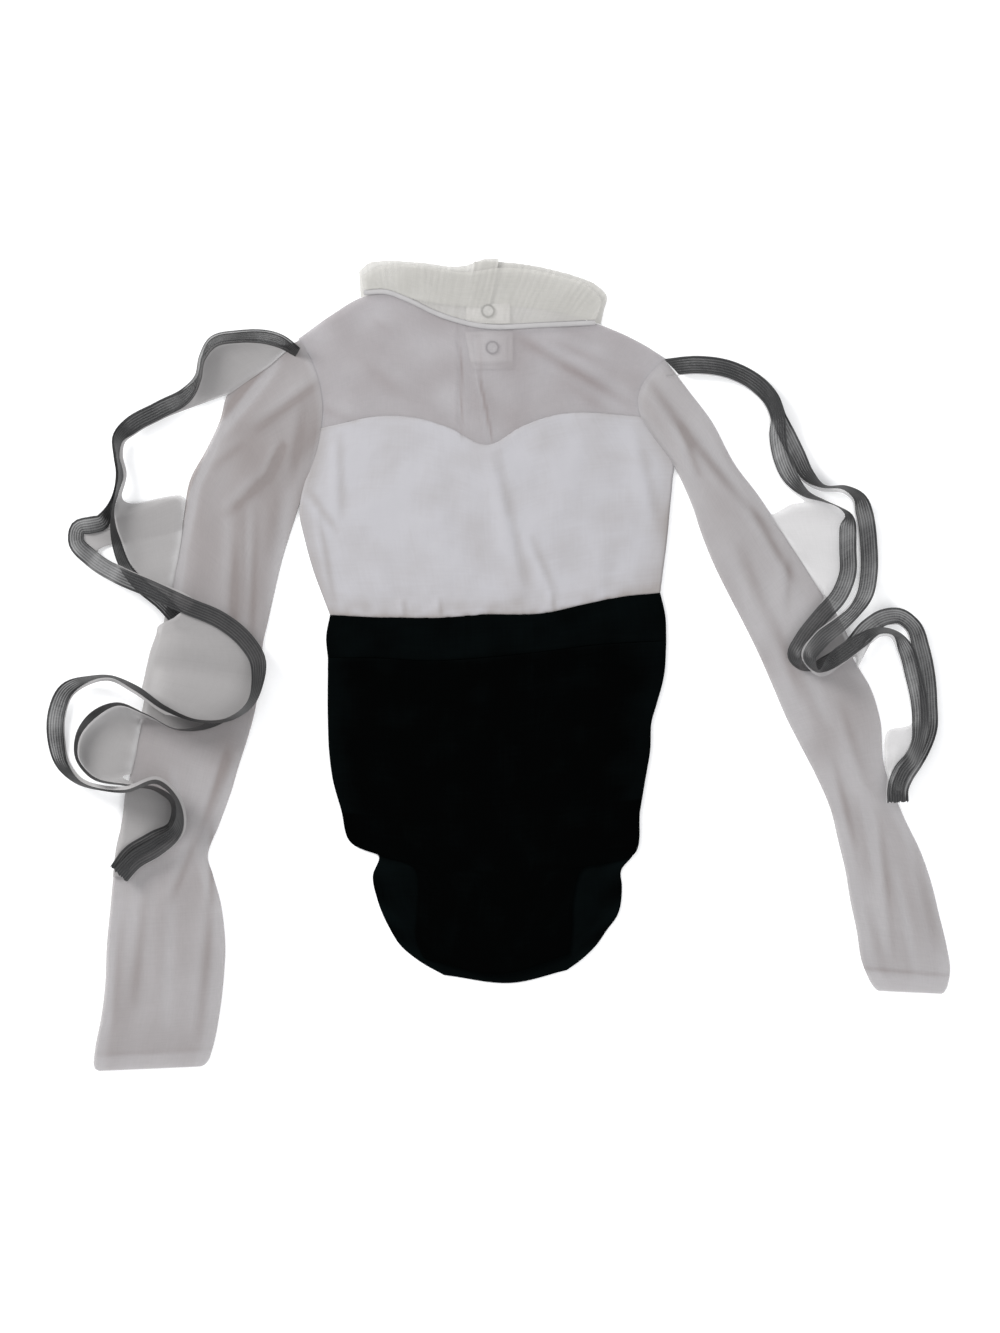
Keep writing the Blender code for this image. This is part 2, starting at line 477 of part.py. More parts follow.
def back(collection, organza, knit, black):
    """The two halves of the back yoke, and the bodice, waistband and brief below them."""
    share_left, share_right = BACK_SEAM_SHARES
    yoke_left = armhole(SLEEVE_LEFT, 0.0, share_left, BODY_INSET)
    yoke_right = armhole(SLEEVE_RIGHT, 0.0, share_right, -BODY_INSET)
    foot_left = on_line(SLIT_LEFT[-1][0], yoke_left[-1], yoke_right[-1])
    foot_right = on_line(SLIT_RIGHT[-1][0], yoke_left[-1], yoke_right[-1])
    neck_line = chain([yoke_left[0]], SHOULDER_LEFT, NECK_BACK_LEFT, SLIT_LEFT[:1])
    slit = SLIT_LEFT[:-1] + [foot_left]
    plan = patch(neck_line, moved([yoke_left[-1], foot_left], dy=HALF_GAP), yoke_left, slit)
    back_panel("back_yoke_left", plan, YOKE_HALF_ROWS, ORGANZA, organza, collection)
    neck_line = chain(SLIT_RIGHT[:1], NECK_BACK_RIGHT, SHOULDER_RIGHT, [yoke_right[0]])
    slit = SLIT_RIGHT[:-1] + [foot_right]
    plan = patch(neck_line, moved([foot_right, yoke_right[-1]], dy=HALF_GAP), slit, yoke_right)
    back_panel("back_yoke_right", plan, YOKE_HALF_ROWS, ORGANZA, organza, collection)
    top = [yoke_left[-1], yoke_right[-1]]
    side_left = chain(armhole(SLEEVE_LEFT, share_left, 1.0, BODY_INSET), SIDE_SEAM_LEFT)
    side_right = chain(armhole(SLEEVE_RIGHT, share_right, 1.0, -BODY_INSET), SIDE_SEAM_RIGHT)
    plan = patch(moved(top, dy=-HALF_GAP), moved(WAIST_TOP, dy=HALF_GAP), side_left, side_right)
    back_panel("back_bodice", plan, 8, KNIT, knit, collection)
    plan = patch(moved(WAIST_TOP, dy=-HALF_GAP), moved(WAIST_SEAM, dy=HALF_GAP), WAIST_LEFT, WAIST_RIGHT)
    back_panel("waistband_back", plan, 1, KNIT, black, collection)
    leg_left = chain(HIP_LEFT, BACK_LEG_LEFT)
    leg_right = chain(HIP_RIGHT, BACK_LEG_RIGHT)
    plan = patch(moved(WAIST_SEAM, dy=-HALF_GAP), BACK_CROTCH, leg_left, leg_right)
    back_panel("brief_back", plan, 16, KNIT, black, collection)


def ruffle(name, seam, edge, gathers, finish, collection):
    """A gathered strip from its free edge to its seam, with gathers that open towards the edge."""
    inner = curve_through(seam)
    outer = curve_through(edge)
    columns = 2 * gathers

    def place(u, v):
        x, y = v * inner(u) + (1 - v) * outer(u)
        height = GATHER_HEIGHT + GATHER_OPENING * (1 - v)
        raised = round(u * columns) % 2
        return x, y, COLLAR_LOW[name] + height * raised

    panel(name, place, columns, 1, ORGANZA, finish, collection)


def tab(name, corners, finish, collection):
    """A strap of tape between its four corners."""
    upper_left, upper_right, lower_left, lower_right = corners
    left = [upper_left, lower_left]
    right = [upper_right, lower_right]
    plan = patch([upper_left, upper_right], [lower_left, lower_right], left, right)
    panel(name, lambda u, v: (*plan(u, v), TAB_LOW), 3, 2, ORGANZA, finish, collection)


def snap(name, x, y, finish, collection):
    """A ring snap: a low cap with a raised rim and a dimple in its middle."""
    radius = SNAP_WIDTH / 2
    mesh = bpy.data.meshes.new(name)
    outline = bmesh.new()
    points = [outline.verts.new((r * radius * MM, 0, z * SNAP_WALL * MM)) for r, z in SNAP_SECTION]
    for first, second in zip(points, points[1:]):
        outline.edges.new((first, second))
    outline.to_mesh(mesh)
    outline.free()
    obj = add(name, mesh, finish, collection)
    obj.location = (x * MM, y * MM, (TAB_LOW + ORGANZA + SEAM_GAP) * MM)
    turn = obj.modifiers.new("Turn", "SCREW")
    turn.steps = SNAP_STEPS
    turn.render_steps = SNAP_STEPS
    turn.use_merge_vertices = True
    turn.merge_threshold = 0.00005


def neck(collection, organza, tape, metal):
    """The stand collar, the binding under its front, and the straps and snaps of its back."""
    half = GATHERS_ACROSS_HALF_BACK
    front_seam = moved(BINDING_LINE, dy=BINDING_WIDTH / 2 + BINDING_REST)
    ruffle("collar_back_right", COLLAR_BACK_RIGHT_SEAM, COLLAR_BACK_RIGHT_EDGE, half, organza, collection)
    ruffle("collar_back_left", COLLAR_BACK_LEFT_SEAM, COLLAR_BACK_LEFT_EDGE, half, organza, collection)
    ruffle("collar_front", front_seam, COLLAR_FRONT_EDGE, GATHERS_ACROSS_FRONT, organza, collection)
    upper = moved(BINDING_LINE, dy=BINDING_WIDTH / 2)
    lower = moved(BINDING_LINE, dy=-BINDING_WIDTH / 2)
    plan = patch(upper, lower, [upper[0], lower[0]], [upper[-1], lower[-1]])
    start, end = BINDING_REACH

    def binding_place(u, v):
        on_yoke = crown(start + (end - start) * u) + ORGANZA
        return *plan(u, v), on_yoke + BINDING_REST

    panel("neck_binding", binding_place, BINDING_CELLS, 1, KNIT, tape, collection)
    for name, corners in TABS.items():
        tab(name, corners, tape, collection)
    for name, (x, y) in SNAP_PLACES.items():
        snap(name, x, y, metal, collection)


def tube(name, rings, folds, finish, collection):
    """A flattened sleeve: an outer and an inner loft, joined by a rim at each end."""

    def loop(ring, inset):
        """A ring's points from its outer edge along its underside, and back over its top."""
        width = math.hypot(ring.outer_x - ring.inner_x, ring.outer_y - ring.inner_y)
        corner = SLEEVE_CORNER / width
        steps = [(inset / width, "edge"), (corner, "below")]
        steps += [(share, "below") for share in SLEEVE_BELOW_SHARES]
        steps += [(1 - corner, "below"), (1 - inset / width, "edge"), (1 - corner, "top")]
        steps += [(share, "top") for share in reversed(SLEEVE_TOP_SHARES)] + [(corner, "top")]
        points = []
        for share, side in steps:
            x = ring.outer_x + (ring.inner_x - ring.outer_x) * share + ring.bow * bow_shape(share)
            y = ring.outer_y + (ring.inner_y - ring.outer_y) * share
            crowned = (ring.crown - SLEEVE_FLAT) * math.sin(math.pi * share) ** CROWN_POWER
            top = SLEEVE_FLAT + crowned + fold_height(x, y, folds) - inset
            z = {"edge": SLEEVE_FLAT / 2, "below": inset, "top": top}[side]
            points.append((x, y, z))
        return points

    solid = bmesh.new()
    lofts = []
    for inset in (0.0, ORGANZA):
        loft = []
        for ring in rings:
            loft.append([solid.verts.new([value * MM for value in point]) for point in loop(ring, inset)])
        lofts.append(loft)
    for loft in lofts:
        for first, second in zip(loft, loft[1:]):
            for i in range(len(first)):
                j = (i + 1) % len(first)
                solid.faces.new((first[i], first[j], second[j], second[i]))
    for end in (0, -1):
        outer, inner = lofts[0][end], lofts[1][end]
        for i in range(len(outer)):
            j = (i + 1) % len(outer)
            solid.faces.new((outer[i], outer[j], inner[j], inner[i]))
    bmesh.ops.recalc_face_normals(solid, faces=solid.faces)
    mesh = bpy.data.meshes.new(name)
    solid.to_mesh(mesh)
    solid.free()
    add(name, mesh, finish, collection)


def under(bends, side):
    """Bends of braid that runs under another: below it where it lies, outside it where it stands."""
    lower = []
    for i, bend in enumerate(bends):
        before = bends[max(i - 1, 0)]
        after = bends[min(i + 1, len(bends) - 1)]
        along = np.array([after.edge_x - before.edge_x, after.edge_y - before.edge_y], float)
        along /= np.linalg.norm(along)
        lean = math.radians(bend.lean)
        dx, dy = side * np.array([along[1], -along[0]]) * UNDER_SHIFT * math.sin(lean)
        rise = bend.rise - UNDER_DROP * math.cos(lean)
        x, y = bend.edge_x + dx, bend.edge_y + dy
        lower.append(Bend(bend.seam_x + dx, bend.seam_y + dy, x, y, rise, bend.lean, bend.cloth))
    return lower


def settled(bends, i):
    """A bend and, after it, 1 if its cloth runs to the sleeve's seam or 0 if it's a free strip.

    A free bend's seam is moved to a strip's width from its braid, and its share is a strip's.
    """
    bend = bends[i]
    if math.hypot(bend.edge_x - bend.seam_x, bend.edge_y - bend.seam_y) > FREE_GAP:
        return (*bend, 1.0)
    before = bends[max(i - 1, 0)]
    after = bends[min(i + 1, len(bends) - 1)]
    along = np.array([after.edge_x - before.edge_x, after.edge_y - before.edge_y], float)
    side = 1 if bend.edge_x < 0 else -1
    along *= side * FREE_WIDTH / np.linalg.norm(along)
    return (bend.edge_x - along[1], bend.edge_y + along[0], *bend[2:6], FREE_SHARE, 0.0)


def flounce(layer, bends, organza, braid, collection):
    """One layer of a sleeve's flounce and the stiff braid that its free edge carries."""
    hang = HANGS[layer]
    outward = np.array(hang.outward)
    bend = curve_through([settled(bends, i) for i in range(len(bends))])
    side = 1 if outward[0] < 0 else -1
    columns = SAMPLES_PER_BEND * (len(bends) - 1)

    def row(u):
        """The seam, the braid's middle and the unit vector across it, the share and held."""
        seam_x, seam_y, edge_x, edge_y, rise, lean, share, held = bend(u)
        lean = math.radians(min(max(lean, 0.0), STEEPEST_LEAN))
        rise = max(rise, BRAID_WIDTH / 2 * math.sin(lean) + BRAID_REST)
        ahead = bend(min(u + 0.25 / columns, 1.0)) - bend(max(u - 0.25 / columns, 0.0))
        ahead = side * ahead[2:4] / np.linalg.norm(ahead[2:4])
        across = np.array([ahead[1] * math.cos(lean), -ahead[0] * math.cos(lean), math.sin(lean)])
        share = min(max(share, FREE_SHARE), 1.0)
        held = min(max(held, 0.0), 1.0)
        return np.array([seam_x, seam_y]), np.array([edge_x, edge_y, rise]), across, share, held

    def braid_place(u, v):
        _, middle, across, _, _ = row(u)
        return middle + (v - 0.5) * BRAID_WIDTH * across

    def cloth_place(u, v):
        seam, middle, across, share, held = row(u)
        end = middle - BRAID_WIDTH / 2 * across
        end[2] -= BRAID_DROP
        free_height = max(end[2] - FREE_DROP, ORGANZA)
        start = np.array([*seam, held * hang.seam_height + (1 - held) * free_height])
        reach = float(np.dot(middle[:2] - seam, outward))
        folded = held * min(max((CURL_BEGINS - reach) / CURL_SPAN, 0.0), 1.0)
        curl = np.array([*(outward * hang.curl_reach), 0.0])
        lift = np.array([0.0, 0.0, end[2] - start[2] + hang.curl_lift])
        first = start + (1 - folded) * (end - start) / 3 + folded * curl
        second = start + (1 - folded) * (end - start) * 2 / 3 + folded * (curl * CURL_RETURN + lift)
        v = 1 - (1 - v) * share
        w = 1 - v
        point = w**3 * start + 3 * w * w * v * first + 3 * w * v * v * second + v**3 * end
        point[2] = min(point[2], end[2])
        return point

    ribbon(f"braid_{layer}", braid_place, columns, 1, BRAID_WALL, braid, collection)
    ribbon(f"flounce_{layer}", cloth_place, columns, hang.rows, ORGANZA, organza, collection)


def main():
    clear_scene()
    collection = bpy.data.collections.new("leotard")
    bpy.context.scene.collection.children.link(collection)
    organza = material("organza", (0.62, 0.61, 0.62), 0.45)
    knit = material("white_knit", (0.72, 0.72, 0.75), 0.85)
    black = material("black_knit", (0.006, 0.007, 0.008), 0.8)
    braid = material("horsehair_braid", (0.13, 0.13, 0.13), 0.5)
    tape = material("cotton_tape", (0.7, 0.69, 0.67), 0.8)
    metal = material("snap_metal", (0.35, 0.35, 0.36), 0.35, 1.0)
    front(collection, organza, knit, black)
    back(collection, organza, knit, black)
    neck(collection, organza, tape, metal)
    tube("sleeve_left", SLEEVE_LEFT, LEFT_FOLDS, organza, collection)
    tube("sleeve_right", SLEEVE_RIGHT, RIGHT_FOLDS, organza, collection)
    left_lower = under(FLOUNCE_LEFT_UPPER[:UNDER_LEFT_BENDS], 1) + FLOUNCE_LEFT_LOWER
    right_lower = under(FLOUNCE_RIGHT_UPPER[:UNDER_RIGHT_BENDS], -1) + FLOUNCE_RIGHT_LOWER
    flounce("left_upper", FLOUNCE_LEFT_UPPER, organza, braid, collection)
    flounce("left_lower", left_lower, organza, braid, collection)
    flounce("right_upper", FLOUNCE_RIGHT_UPPER, organza, braid, collection)
    flounce("right_lower", right_lower, organza, braid, collection)


main()
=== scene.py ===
"""The looks of a long-sleeved leotard laid flat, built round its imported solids."""

import math
from collections import namedtuple

import bmesh
import bpy
import numpy as np
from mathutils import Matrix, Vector, noise


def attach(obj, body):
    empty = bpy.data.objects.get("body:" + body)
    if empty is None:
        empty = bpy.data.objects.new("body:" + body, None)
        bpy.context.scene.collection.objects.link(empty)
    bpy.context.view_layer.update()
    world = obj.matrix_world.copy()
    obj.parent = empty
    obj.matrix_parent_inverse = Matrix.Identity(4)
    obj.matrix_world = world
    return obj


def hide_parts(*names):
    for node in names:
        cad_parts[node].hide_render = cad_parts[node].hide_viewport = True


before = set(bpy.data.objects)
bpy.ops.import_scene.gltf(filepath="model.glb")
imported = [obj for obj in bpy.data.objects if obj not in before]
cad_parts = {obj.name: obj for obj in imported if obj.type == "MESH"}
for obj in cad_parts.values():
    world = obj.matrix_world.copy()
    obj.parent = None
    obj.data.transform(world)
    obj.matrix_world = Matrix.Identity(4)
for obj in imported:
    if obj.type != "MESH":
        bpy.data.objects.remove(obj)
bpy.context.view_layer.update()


# Camera, light and floor
# The garment lies on a pale floor under soft, even studio light, and the camera
# looks straight down on it from high up, so that heights hardly shift anything.
MM = 0.001
PIXEL = 0.9 * MM
IMAGE_WIDTH, IMAGE_HEIGHT = 1000, 1333
MIDDLE = (498.5, 665.0)
CAMERA_HEIGHT = 7.0
FILM = 36.0

scene = bpy.context.scene


def added(name, data):
    """An object that puts a camera, a light or a mesh into the scene."""
    made = bpy.data.objects.new(name, data)
    scene.collection.objects.link(made)
    return made


camera = added("camera", bpy.data.cameras.new("camera"))
camera.location = (
    (IMAGE_WIDTH / 2 - MIDDLE[0]) * PIXEL,
    (MIDDLE[1] - IMAGE_HEIGHT / 2) * PIXEL,
    CAMERA_HEIGHT,
)
camera.data.lens = FILM * CAMERA_HEIGHT / (IMAGE_HEIGHT * PIXEL)
camera.data.sensor_width = FILM
camera.data.clip_end = 50.0
scene.camera = camera

scene.view_settings.view_transform = "Standard"
world = bpy.data.worlds.new("studio")
world.use_nodes = True
backdrop = world.node_tree.nodes["Background"]
backdrop.inputs["Color"].default_value = (0.97, 0.98, 1.0, 1.0)
backdrop.inputs["Strength"].default_value = 0.85
scene.world = world


def softbox(name, place, size, watts):
    """A round soft light that faces the middle of the floor."""
    lamp = added(name, bpy.data.lights.new(name, "AREA"))
    lamp.data.shape = "DISK"
    lamp.data.size = size
    lamp.data.energy = watts
    lamp.location = place
    lamp.rotation_euler = (-Vector(place)).to_track_quat("-Z", "Y").to_euler()


softbox("key", (-2.6, 1.9, 2.1), 1.6, 135)
softbox("fill", (1.6, -1.2, 2.8), 2.5, 30)


def plain_material(name, colour, roughness, specular=0.5, metallic=0.0):
    """A material, and its Principled shader for further nodes."""
    made = bpy.data.materials.new(name)
    made.use_nodes = True
    shader = made.node_tree.nodes["Principled BSDF"]
    shader.inputs["Base Color"].default_value = (*colour, 1.0)
    shader.inputs["Roughness"].default_value = roughness
    shader.inputs["Specular IOR Level"].default_value = specular
    shader.inputs["Metallic"].default_value = metallic
    return made, shader


def modelled(name, shape):
    """An object with a smooth mesh, made from a bmesh that isn't needed any more."""
    mesh = bpy.data.meshes.new(name)
    shape.to_mesh(mesh)
    shape.free()
    mesh.shade_smooth()
    return added(name, mesh)


floor_grid = bmesh.new()
bmesh.ops.create_grid(floor_grid, x_segments=1, y_segments=1, size=4.0)
bmesh.ops.translate(floor_grid, vec=(0, 0, -0.4 * MM), verts=floor_grid.verts)
floor = modelled("floor", floor_grid)
paper, paper_shader = plain_material("floor_paper", (0.94, 0.94, 0.94), 0.9, 0.1)
paper_shader.inputs["Emission Color"].default_value = (1.0, 1.0, 1.0, 1.0)
paper_shader.inputs["Emission Strength"].default_value = 0.12
floor.data.materials.append(paper)


# Back yoke halves
# Two pieces of sheer white organza with a narrow opening between them down the
# middle of the back. Each is cut to the armhole, the neck and the bodice seam.
ORGANZA_WALL = 1.0
KNIT_WALL = 1.4
LAYER_REST = KNIT_WALL + 0.3
NECK_END_LEFT = (-122, 331)
SHOULDER_LEFT = [(-150, 315), NECK_END_LEFT]
SHOULDER_RIGHT = [(88, 307), (102, 302), (131, 288)]
NECK_BACK_LEFT = [(-101, 334.5), (-80, 331), (-50, 326)]
NECK_BACK_RIGHT = [(10, 323.5), (46, 320)]
SLIT_LEFT = [(-37.5, 324), (-37.5, 270), (-37, 213), (-36.5, 191)]
SLIT_RIGHT = [(-25.5, 324), (-21, 271), (-18.5, 252), (-12, 231), (-5, 191)]
ARMHOLE_LEFT = ((-178.5, 293.5), (-175, 155.5), 18)
ARMHOLE_RIGHT = ((149, 275.5), (155.5, 183), -26)
BACK_SEAM_SHARES = (0.76, 0.9)
FRONT_SEAM_SHARES = (0.585, 0.565)
ARMHOLE_INSET = -1.6


def curve_through(points):
    """A smooth curve through rows of numbers, as a function of a share of its plan length.

    The plan is the first two columns, or the edge of a bend in a flounce.
    """
    rows = np.array(points, float)
    plan = rows[:, 2:4] if rows.shape[1] > 3 else rows[:, :2]
    steps = np.linalg.norm(np.diff(plan, axis=0), axis=1)
    stations = np.concatenate([[0.0], np.cumsum(steps)]) / steps.sum()
    gaps = np.diff(stations)
    slopes = np.diff(rows, axis=0) / gaps[:, None]
    tangents = np.vstack([slopes[:1], slopes[-1:]]) if len(rows) == 2 else np.empty_like(rows)
    if len(rows) > 2:
        weight = (gaps[:-1] / (gaps[:-1] + gaps[1:]))[:, None]
        tangents[0] = slopes[0]
        tangents[-1] = slopes[-1]
        tangents[1:-1] = slopes[:-1] * (1 - weight) + slopes[1:] * weight

    def at(share):
        share = min(max(share, 0.0), 1.0)
        i = min(int(np.searchsorted(stations, share, side="right")) - 1, len(gaps) - 1)
        t = (share - stations[i]) / gaps[i]
        start = (2 * t**3 - 3 * t**2 + 1) * rows[i] + (t**3 - 2 * t**2 + t) * gaps[i] * tangents[i]
        end = (3 * t**2 - 2 * t**3) * rows[i + 1] + (t**3 - t**2) * gaps[i] * tangents[i + 1]
        return start + end

    return at


def chain(*outlines):
    """One outline from several that follow each other, without the point that two share."""
    joined = list(outlines[0])
    for outline in outlines[1:]:
        joined += [point for point in outline if point != joined[-1]]
    return joined


def moved(points, dx=0.0, dy=0.0):
    return [(x + dx, y + dy) for x, y in points]


def on_line(x, start, end):
    """The point at x on the straight line between two points."""
    share = (x - start[0]) / (end[0] - start[0])
    return x, start[1] + (end[1] - start[1]) * share


def patch(top, bottom, left, right):
    """The plan of a panel from its four edges, as a function of shares across and down."""
    edges = [curve_through(points) for points in (top, bottom, left, right)]

    def at(u, v):
        across = (1 - v) * edges[0](u) + v * edges[1](u)
        down = (1 - u) * edges[2](v) + u * edges[3](v)
        upper = (1 - u) * edges[0](0) + u * edges[0](1)
        lower = (1 - u) * edges[1](0) + u * edges[1](1)
        return across + down - (1 - v) * upper - v * lower

    return at


def bow_shape(share):
    """How an armhole seam curves towards the body, most in its upper half."""
    return math.sin(math.pi * share) * (1.3 - 0.6 * share)


def armhole(seam, start, end, inset):
    """Points of an armhole seam between two shares of its way down."""
    (top_x, top_y), (low_x, low_y), bow = seam
    points = []
    for step in range(7):
        share = start + (end - start) * step / 6
        x = top_x + (low_x - top_x) * share + bow * bow_shape(share) + inset
        points.append((x, top_y + (low_y - top_y) * share))
    return points


def near(away, reach, power=2):
    """1 at a line or an edge, falling smoothly to 0 well beyond its reach."""
    return math.exp(-((away / reach) ** power))


def rumple(x, y, size, depth, seed):
    """Soft uneven relief, in millimetres, from smooth noise of that size."""
    return depth * noise.noise(Vector((x / size, y / size, seed)))


def cloth(name, place, columns, rows, width, length, around=False):
    """A sheet of cloth from a grid that place() bends, with its UVs in metres and a vertex attribute for
    folds and painted shade.

    place() gives x, y and z in millimetres and how much the cloth folds or doubles there, a value that also
    paints shade and light into its colour.
    """
    grid = bmesh.new()
    weave = grid.loops.layers.uv.new("cloth")
    bmesh.ops.create_grid(grid, x_segments=columns, y_segments=rows, size=1.0, calc_uvs=True)
    fold_and_shade = grid.verts.layers.float.new("fold_and_shade")
    for face in grid.faces:
        for loop in face.loops:
            u = (1 + loop.vert.co.x) / 2
            v = (1 - loop.vert.co.y) / 2
            loop[weave].uv = (u * width * MM, v * length * MM)
    for vertex in grid.verts:
        # folded is how much the cloth doubles there, and also its painted shade and light.
        x, y, z, folded = place((1 + vertex.co.x) / 2, (1 - vertex.co.y) / 2)
        vertex.co = (x * MM, y * MM, z * MM)
        vertex[fold_and_shade] = folded
    if around:
        bmesh.ops.recalc_face_normals(grid, faces=grid.faces)
    return modelled(f"{name}_cloth", grid)


def thicken(piece, wall):
    """Gives a sheet of opaque cloth its thickness, to both sides."""
    solid = piece.modifiers.new("thickness", "SOLIDIFY")
    solid.thickness = wall * MM
    solid.offset = 0


def dress(piece, finish, node):
    """Gives a sheet of cloth its finish and puts it in the place of its solid.
    """
    piece.data.materials.append(finish)
    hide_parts(node)
    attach(piece, "root")


def combined(nodes, links, operation, first, second):
    """Two values added or multiplied. The second may be a plain number."""
    node = nodes.new("ShaderNodeMath")
    node.operation = operation
    links.new(first, node.inputs[0])
    if isinstance(second, float):
        node.inputs[1].default_value = second
    else:
        links.new(second, node.inputs[1])
    return node.outputs[0]


def weave_group():
    """Cloth that is woven or knitted: uneven threads both ways, and soft mottling."""
    group = bpy.data.node_groups.new("threads", "ShaderNodeTree")
    group.interface.new_socket("Vector", in_out="INPUT", socket_type="NodeSocketVector")
    for name in ("Threads per metre", "Slub size"):
        group.interface.new_socket(name, in_out="INPUT", socket_type="NodeSocketFloat")
    for name in ("Weave", "Slubs", "Mottling"):
        group.interface.new_socket(name, in_out="OUTPUT", socket_type="NodeSocketFloat")
    nodes, links = group.nodes, group.links
    given = nodes.new("NodeGroupInput")
    wanted = nodes.new("NodeGroupOutput")

    def stretched(scale_x, scale_y):
        turn = nodes.new("ShaderNodeVectorMath")
        turn.operation = "MULTIPLY"
        turn.inputs[1].default_value = (scale_x, scale_y, 1.0)
        links.new(given.outputs["Vector"], turn.inputs[0])
        grain = nodes.new("ShaderNodeTexNoise")
        grain.inputs["Detail"].default_value = 2.0
        links.new(turn.outputs[0], grain.inputs["Vector"])
        links.new(given.outputs["Slub size"], grain.inputs["Scale"])
        return grain.outputs["Fac"]

    both_ways = combined(nodes, links, "ADD", stretched(1.0, 0.06), stretched(0.06, 1.0))
    links.new(combined(nodes, links, "MULTIPLY", both_ways, 0.5), wanted.inputs["Slubs"])

    waves = []
    for direction in ("X", "Y"):
        wave = nodes.new("ShaderNodeTexWave")
        wave.bands_direction = direction
        wave.inputs["Distortion"].default_value = 0.4
        links.new(given.outputs["Vector"], wave.inputs["Vector"])
        links.new(given.outputs["Threads per metre"], wave.inputs["Scale"])
        waves.append(wave.outputs["Fac"])
    links.new(combined(nodes, links, "MULTIPLY", *waves), wanted.inputs["Weave"])

    mottling = nodes.new("ShaderNodeTexNoise")
    mottling.inputs["Scale"].default_value = 30.0
    mottling.inputs["Detail"].default_value = 4.0
    links.new(given.outputs["Vector"], mottling.inputs["Vector"])
    links.new(mottling.outputs["Fac"], wanted.inputs["Mottling"])
    return group


THREADS = weave_group()


def ramp(nodes, links, source, low, high, from_low=0.0, from_high=1.0):
    """Maps a value from one range to another, held at its ends."""
    node = nodes.new("ShaderNodeMapRange")
    node.inputs["From Min"].default_value = from_low
    node.inputs["From Max"].default_value = from_high
    node.inputs["To Min"].default_value = low
    node.inputs["To Max"].default_value = high
    links.new(source, node.inputs["Value"])
    return node.outputs["Result"]


def blended(nodes, links, share, first, second):
    """A colour between two colours, each a tuple or a socket."""
    node = nodes.new("ShaderNodeMix")
    node.data_type = "RGBA"
    for socket, colour in ((node.inputs["A"], first), (node.inputs["B"], second)):
        if isinstance(colour, tuple):
            socket.default_value = (*colour, 1.0)
        else:
            links.new(colour, socket)
    links.new(share, node.inputs["Factor"])
    return node.outputs["Result"]


def summed(nodes, links, *terms):
    total = terms[0]
    for term in terms[1:]:
        total = combined(nodes, links, "ADD", total, term)
    return total


def cloth_nodes(made, threads, slub_size):
    """The nodes that every cloth starts from: its UVs, its threads and its vertex attribute for folds and
    painted shade.
    """
    nodes, links = made.node_tree.nodes, made.node_tree.links
    coordinates = nodes.new("ShaderNodeUVMap")
    coordinates.uv_map = "cloth"
    pattern = nodes.new("ShaderNodeGroup")
    pattern.node_tree = THREADS
    pattern.inputs["Threads per metre"].default_value = threads
    pattern.inputs["Slub size"].default_value = slub_size
    links.new(coordinates.outputs["UV"], pattern.inputs["Vector"])
    fold_and_shade = nodes.new("ShaderNodeAttribute")
    fold_and_shade.attribute_name = "fold_and_shade"
    return nodes, links, pattern, fold_and_shade.outputs["Fac"]


def emboss(nodes, links, shader, raised, strength, distance):
    """Fine relief, too small for the mesh, that a pattern gives the surface."""
    relief = nodes.new("ShaderNodeBump")
    relief.inputs["Strength"].default_value = strength
    relief.inputs["Distance"].default_value = distance
    links.new(raised, relief.inputs["Height"])
    links.new(relief.outputs["Normal"], shader.inputs["Normal"])


def organza(name, colour, shade, cover, folded_cover):
    """Sheer cloth: threads with gaps that show what lies under it, denser where it folds, and with painted
    shade from the same vertex value.
    """
    made, shader = plain_material(name, colour, 0.5, 0.35)
    shader.inputs["Sheen Weight"].default_value = 0.15
    shader.inputs["Sheen Roughness"].default_value = 0.4
    nodes, links, pattern, fold_and_shade = cloth_nodes(made, 1100.0, 900.0)
    slubs = ramp(nodes, links, pattern.outputs["Slubs"], -0.022, 0.022, 0.35, 0.65)
    woven = ramp(nodes, links, pattern.outputs["Weave"], -0.012, 0.02)
    mottled = ramp(nodes, links, pattern.outputs["Mottling"], cover - 0.03, cover + 0.03, 0.35, 0.65)
    doubled = ramp(nodes, links, fold_and_shade, 0.0, folded_cover - cover)
    links.new(summed(nodes, links, mottled, slubs, woven, doubled), shader.inputs["Alpha"])
    # Painted shade and light: the vertex value moves the colour between its own colour and its darker shade
    # colour.
    links.new(blended(nodes, links, fold_and_shade, colour, shade), shader.inputs["Base Color"])
    emboss(nodes, links, shader, pattern.outputs["Weave"], 0.04, 0.0003)
    return made


yoke_organza = organza("yoke_organza", (0.385, 0.37, 0.382), (0.225, 0.195, 0.193), 0.5, 0.8)

back_left = armhole(ARMHOLE_LEFT, 0.0, BACK_SEAM_SHARES[0], ARMHOLE_INSET)
back_right = armhole(ARMHOLE_RIGHT, 0.0, BACK_SEAM_SHARES[1], -ARMHOLE_INSET)


def back_yoke(name, neck, bottom, left, right, fold_line, flat, seed):
    """fold_line is the x at which its facing or edge is folded, as a denser narrow line."""
    plan = patch(neck, bottom, left, right)

    def place(u, v):
        x, y = plan(u, v)
        line = 0.6 * near(x - fold_line(y), 1.2)
        return x, y, 0.5 + rumple(x, y, 28, 0.25, seed), 0.35 + rumple(x, y, 30, 0.3, seed) + line

    piece = cloth(name, place, 64, 44, *flat)
    dress(piece, yoke_organza, name)


